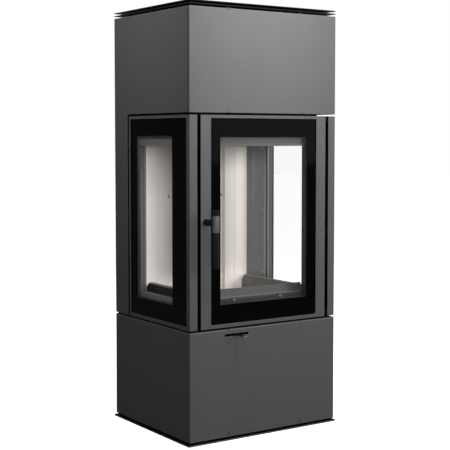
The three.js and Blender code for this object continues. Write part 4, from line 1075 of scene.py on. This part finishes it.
class STOVE_OT_door(bpy.types.Operator):
    """Door frame, its pane, the retainer with its nuts, and the ropes that seal it"""
    bl_idname = "stove.door"
    bl_label = "Door"

    def execute(self, context):
        sizes = context.scene.stove_sizes
        prints = (sizes.door_print_side, sizes.door_print_side, sizes.door_print_foot, sizes.door_print_head)
        window = window_in("door_glass", "x", prints)
        glass = printed_pane("Door pane", tuple(context.scene.stove_colours.printed_glass), window)
        leaf_edge, rope, tape = 0.0007, 0.005, 0.0018
        finished("door_frame", "door_leaf", leaf_edge, 3)
        finished("door_glass", "door_pane", THIN_EDGE, material=glass)
        finished("glass_retainer", "retainer_sheet", THIN_EDGE)
        glazing_bead()
        seal_rope("door_rope", "door_gasket", 0, rope)
        seal_rope("pane_tape", "door_glass_seal", 0, tape)
        y = high("glass_retainer").y + NUT_HEIGHT / 2 + NUT_GAP
        nuts = [nut((way * NUT_X, y, z)) for way in SIDES.values() for z in NUT_Z]
        nuts = soften(together("retainer_nuts", nuts), NUT_EDGE)
        fit(nuts, "glass_retainer", slot="zinc_steel", stands_for=False)
        return {"FINISHED"}


class STOVE_OT_hinges(bpy.types.Operator):
    """Hinge brackets and pins, and the latch's pawl and keeper"""
    bl_idname = "stove.hinges"
    bl_label = "Hinges and latch"

    def execute(self, context):
        edge = context.scene.stove_sizes.plate_edge
        pin_radius, pin_rim = 0.0025, 0.0007
        for end in ("lower", "upper"):
            finished(f"{end}_hinge_bracket", f"{end}_bracket", edge)
            node = f"{end}_hinge_pin"
            middle = (low(node) + high(node)) / 2
            profile = rounded_rod(pin_radius, low(node).z, high(node).z, pin_rim)
            pin = turned(f"{end}_pin", profile, (middle.x, middle.y, 0), UPRIGHT, 24)
            fit(pin, node, slot="black_paint")
        finished("latch_pawl", "pawl", edge)
        finished("latch_keeper", "keeper", edge)
        return {"FINISHED"}


class STOVE_OT_handle(bpy.types.Operator):
    """Turned door handle: stub, sleeve, grip and cap"""
    bl_idname = "stove.handle"
    bl_label = "Door handle"

    def execute(self, context):
        grip_low, grip_high = low("handle_grip"), high("handle_grip")
        cap_low, cap_high = low("handle_cap"), high("handle_cap")
        inside, rim, sleeve_rim, joint, stub_end = 0.00005, 0.0012, 0.0005, 0.0003, 0.008
        middle = (grip_low + grip_high) / 2
        place = (middle.x, middle.y, 0)
        radius = (grip_high.x - grip_low.x) / 2 - inside
        grip = rounded_rod(radius, grip_low.z, grip_high.z, rim)
        fit(turned("grip", grip, place, UPRIGHT), "handle_grip")
        sleeve = rounded_rod(radius, grip_high.z + joint, cap_low.z - joint, sleeve_rim)
        fit(turned("sleeve", sleeve, place, UPRIGHT, 64), "handle_sleeve")
        cap = rounded_rod(radius, cap_low.z, cap_high.z, rim)
        fit(turned("cap", cap, place, UPRIGHT), "handle_cap")
        stub_low, stub_high = low("handle_spindle"), high("handle_spindle")
        wide = (stub_high.x - stub_low.x) / 2 - inside
        thin, thin_rim, wide_rim = wide / 2, 0.0004, 0.0008
        rear, face, front = -stub_high.y, joint - FRONT_Y, -(middle.y + stub_end)
        stub = [
            (0, rear), (thin - thin_rim, rear), (thin, rear + thin_rim), (thin, face),
            (wide - wide_rim, face), (wide, face + wide_rim), (wide, front), (0, front),
        ]
        fit(turned("stub", stub, (middle.x, 0, (stub_low.z + stub_high.z) / 2), FORWARD), "handle_spindle")
        return {"FINISHED"}


class STOVE_OT_air_supply(bpy.types.Operator):
    """Air box, inlet spigot, slide and lever"""
    bl_idname = "stove.air_supply"
    bl_label = "Air supply"

    def execute(self, context):
        edge = context.scene.stove_sizes.plate_edge
        finished("air_box", "air_chest", edge)
        # The slide takes black paint so the slot behind the lever shows painted shade
        finished("air_slide", "air_shutter", edge, material=finish_for("black_paint"))
        node = "air_inlet_spigot"
        first, last = low(node), high(node)
        middle = (first + last) / 2
        radius = (last.x - first.x) / 2
        profile = pipe_profile(radius, radius - PIPE_SHEET, first.y, last.y, THIN_EDGE)
        fit(turned("inlet_ring", profile, (middle.x, 0, middle.z), (0, 1, 0), 96), node)
        first, last = low("air_lever"), high("air_lever")
        middle = (first + last) / 2
        tip_depth, tip_width, tip_thickness, overlap = 0.012, 0.0168, 0.0052, 0.001
        strip_edge, tip_edge = 0.0006, 0.0024

        def without_tip(work):
            everything = [*work.verts, *work.edges, *work.faces]
            where = (0, first.y + tip_depth - overlap, 0)
            cut = bmesh.ops.bisect_plane(
                work, geom=everything, plane_co=where, plane_no=FORWARD, clear_outer=True)
            rim = [part for part in cut["geom_cut"] if isinstance(part, bmesh.types.BMEdge)]
            bmesh.ops.holes_fill(work, edges=rim)

        finished("air_lever", "air_lever_strip", strip_edge, 3, without_tip, slot="black_paint")
        knob = rounded_rod(tip_depth / 2, -tip_thickness / 2, tip_thickness / 2, tip_edge)
        tip = turned("air_lever_tip", knob, (0, 0, 0), UPRIGHT)
        place = Matrix.Translation((middle.x, first.y + tip_depth / 2, middle.z))
        tip.data.transform(place @ Matrix.Diagonal((tip_width / tip_depth, 1, 1, 1)))
        fit(tip, "air_lever", slot="zinc_steel", stands_for=False, material=finish_for("worn_steel"))
        return {"FINISHED"}


class STOVE_OT_flue(bpy.types.Operator):
    """Cast flue collar and the pipe that stands on it"""
    bl_idname = "stove.flue"
    bl_label = "Flue"

    def execute(self, context):
        edge = context.scene.stove_sizes.plate_edge
        first, last = low("flue_pipe"), high("flue_pipe")
        radius = (last.x - first.x) / 2
        pipe = pipe_profile(radius, radius - PIPE_SHEET, first.z, last.z, edge)
        fit(turned("flue_tube", pipe, (0, 0, 0), UPRIGHT, 120), "flue_pipe")
        first, last = low("flue_collar"), high("flue_collar")
        flange = (last.x - first.x) / 2
        wide, bore, thick, rim, soft = 0.0727, 0.0667, 0.006, 0.001, 0.0015
        foot, step, head = first.z, first.z + thick, last.z
        collar = [
            (bore, foot), (flange - rim, foot), (flange, foot + rim), (flange, step - soft),
            (flange - soft, step), (wide + rim, step), (wide, step + rim),
            (wide, head - rim), (wide - rim, head), (bore + rim, head), (bore, head - rim), (bore, foot),
        ]
        fit(turned("flue_socket", collar, (0, 0, 0), UPRIGHT, 96), "flue_collar")
        return {"FINISHED"}


# Each lamp's place, the point that it faces, its size and its spread in degrees
LAMPS = {
    "top": ((0, -1, 2.3), (0, -0.24, 1.5), 0.7, 51),
    "side": ((-1, -0.1, 2.3), (-0.29, 0, 1.5), 0.7, 60),
    "left": ((-1.75, -0.15, 2.5), (-0.29, 0, 1), 0.9, 180),
    "front": ((-1.5, -3.3, 1.2), (0, 0, 0.75), 1, 180),
    "right": ((1.6, -2.4, 1.4), (0, 0, 0.8), 1.2, 180),
    "back": ((0.2, 3.2, 2.2), (0, 0.24, 0.8), 1.2, 180),
}
CAMERA_PLACE = (-2.082, -3.0933, 0.9633)
SENSOR_WIDTH = 36
FLOOR_RADIUS, FLOOR_Z = 25, -0.0002


class STOVE_OT_stage(bpy.types.Operator):
    """Pale floor, soft lamps, white surroundings and the camera"""
    bl_idname = "stove.stage"
    bl_label = "Stage"

    def execute(self, context):
        scene = context.scene
        stage = scene.stove_stage
        scene.view_settings.view_transform = "Standard"
        floor = bmesh.new()
        bmesh.ops.create_circle(floor, cap_ends=True, radius=FLOOR_RADIUS, segments=96)
        bmesh.ops.translate(floor, verts=floor.verts, vec=(0, 0, FLOOR_Z))
        ground = new_piece("floor", floor)
        ground.data.materials.append(pale_floor())
        surroundings(scene, stage.ambient)
        for name, (place, target, size, spread) in LAMPS.items():
            lamp(f"{name}_lamp", place, target, size, getattr(stage, f"{name}_power"), spread)
        camera = bpy.data.cameras.new("camera")
        camera.lens = stage.lens
        camera.sensor_width = SENSOR_WIDTH
        camera.shift_y = stage.shift
        viewer = bpy.data.objects.new("camera", camera)
        viewer.location = CAMERA_PLACE
        viewer.rotation_euler = (math.pi / 2 - stage.pitch, 0, -stage.yaw)
        scene.collection.objects.link(viewer)
        scene.camera = viewer
        return {"FINISHED"}


def lamp(name, place, target, size, watts, spread):
    """A square area lamp that faces a point."""
    light = bpy.data.lights.new(name, "AREA")
    light.size = size
    light.spread = math.radians(spread)
    light.energy = watts
    holder = bpy.data.objects.new(name, light)
    holder.location = place
    holder.rotation_euler = (Vector(target) - Vector(place)).to_track_quat("-Z", "Y").to_euler()
    bpy.context.scene.collection.objects.link(holder)


def seen_directly(tree):
    """1 for rays from the camera, from a gloss or through glass; 0 for the rest."""
    path = add_node(tree, "ShaderNodeLightPath")
    seen = [Number(path.outputs[name]) for name in ("Is Camera Ray", "Is Glossy Ray", "Is Transmission Ray")]
    return seen[0].most(seen[1]).most(seen[2])


def pale_floor():
    """White where it is seen, with the stove's soft shadow, and darker in the light that it throws back."""
    floor = Finish("Pale floor", {"Roughness": 0.9, "Specular IOR Level": 0, "Emission Strength": 1})
    seen = seen_directly(floor.tree)
    x, y, _ = floor.axes()
    near, run = 0.45, 0.9
    far = ((from_middle(x, y) - near) / run).held()
    floor.use({
        "Base Color": floor.blend((0.05, 0.05, 0.05), (0.8, 0.8, 0.8), seen),
        "Emission Color": floor.blend((0, 0, 0), (1, 1, 1), seen * (0.8 + 0.2 * far)),
    })
    return floor.material


def surroundings(scene, ambient):
    """A white room to the camera and to gloss, and a weak even light on the object."""
    world = bpy.data.worlds.new("White room")
    world.use_nodes = True
    tree = world.node_tree
    tree.nodes.clear()
    strength = ambient + (1 - ambient) * seen_directly(tree)
    background = add_node(tree, "ShaderNodeBackground", {}, {"Color": (1, 1, 1, 1), "Strength": strength})
    add_node(tree, "ShaderNodeOutputWorld", {}, {"Surface": background.outputs[0]})
    scene.world = world


BUILDERS = (
    STOVE_OT_casing, STOVE_OT_covers, STOVE_OT_base, STOVE_OT_casing_screws, STOVE_OT_columns,
    STOVE_OT_chamber, STOVE_OT_hearth, STOVE_OT_lining, STOVE_OT_side_glazing, STOVE_OT_door,
    STOVE_OT_hinges, STOVE_OT_handle, STOVE_OT_air_supply, STOVE_OT_flue, STOVE_OT_stage,
)


class STOVE_PT_builders(bpy.types.Panel):
    """Buttons that build the stove, group by group"""
    bl_idname = "STOVE_PT_builders"
    bl_label = "Wood stove"
    bl_space_type = "VIEW_3D"
    bl_region_type = "UI"
    bl_category = "Wood stove"

    def draw(self, context):
        for group in ("stove_sizes", "stove_colours", "stove_stage"):
            settings = getattr(context.scene, group)
            box = self.layout.box()
            for name in type(settings).__annotations__:
                box.prop(settings, name)
        column = self.layout.column(align=True)
        for builder in BUILDERS:
            column.operator(builder.bl_idname)


CLASSES = (StoveSizes, StoveColours, StoveStage, *BUILDERS, STOVE_PT_builders)


def register():
    for cls in CLASSES:
        bpy.utils.register_class(cls)
    bpy.types.Scene.stove_sizes = PointerProperty(type=StoveSizes)
    bpy.types.Scene.stove_colours = PointerProperty(type=StoveColours)
    bpy.types.Scene.stove_stage = PointerProperty(type=StoveStage)


def unregister():
    del bpy.types.Scene.stove_stage
    del bpy.types.Scene.stove_colours
    del bpy.types.Scene.stove_sizes
    for cls in reversed(CLASSES):
        bpy.utils.unregister_class(cls)


def main():
    """Builds the whole stove on its stage."""
    register()
    for builder in BUILDERS:
        group, name = builder.bl_idname.split(".")
        getattr(getattr(bpy.ops, group), name)()


if __name__ == "__main__":
    main()
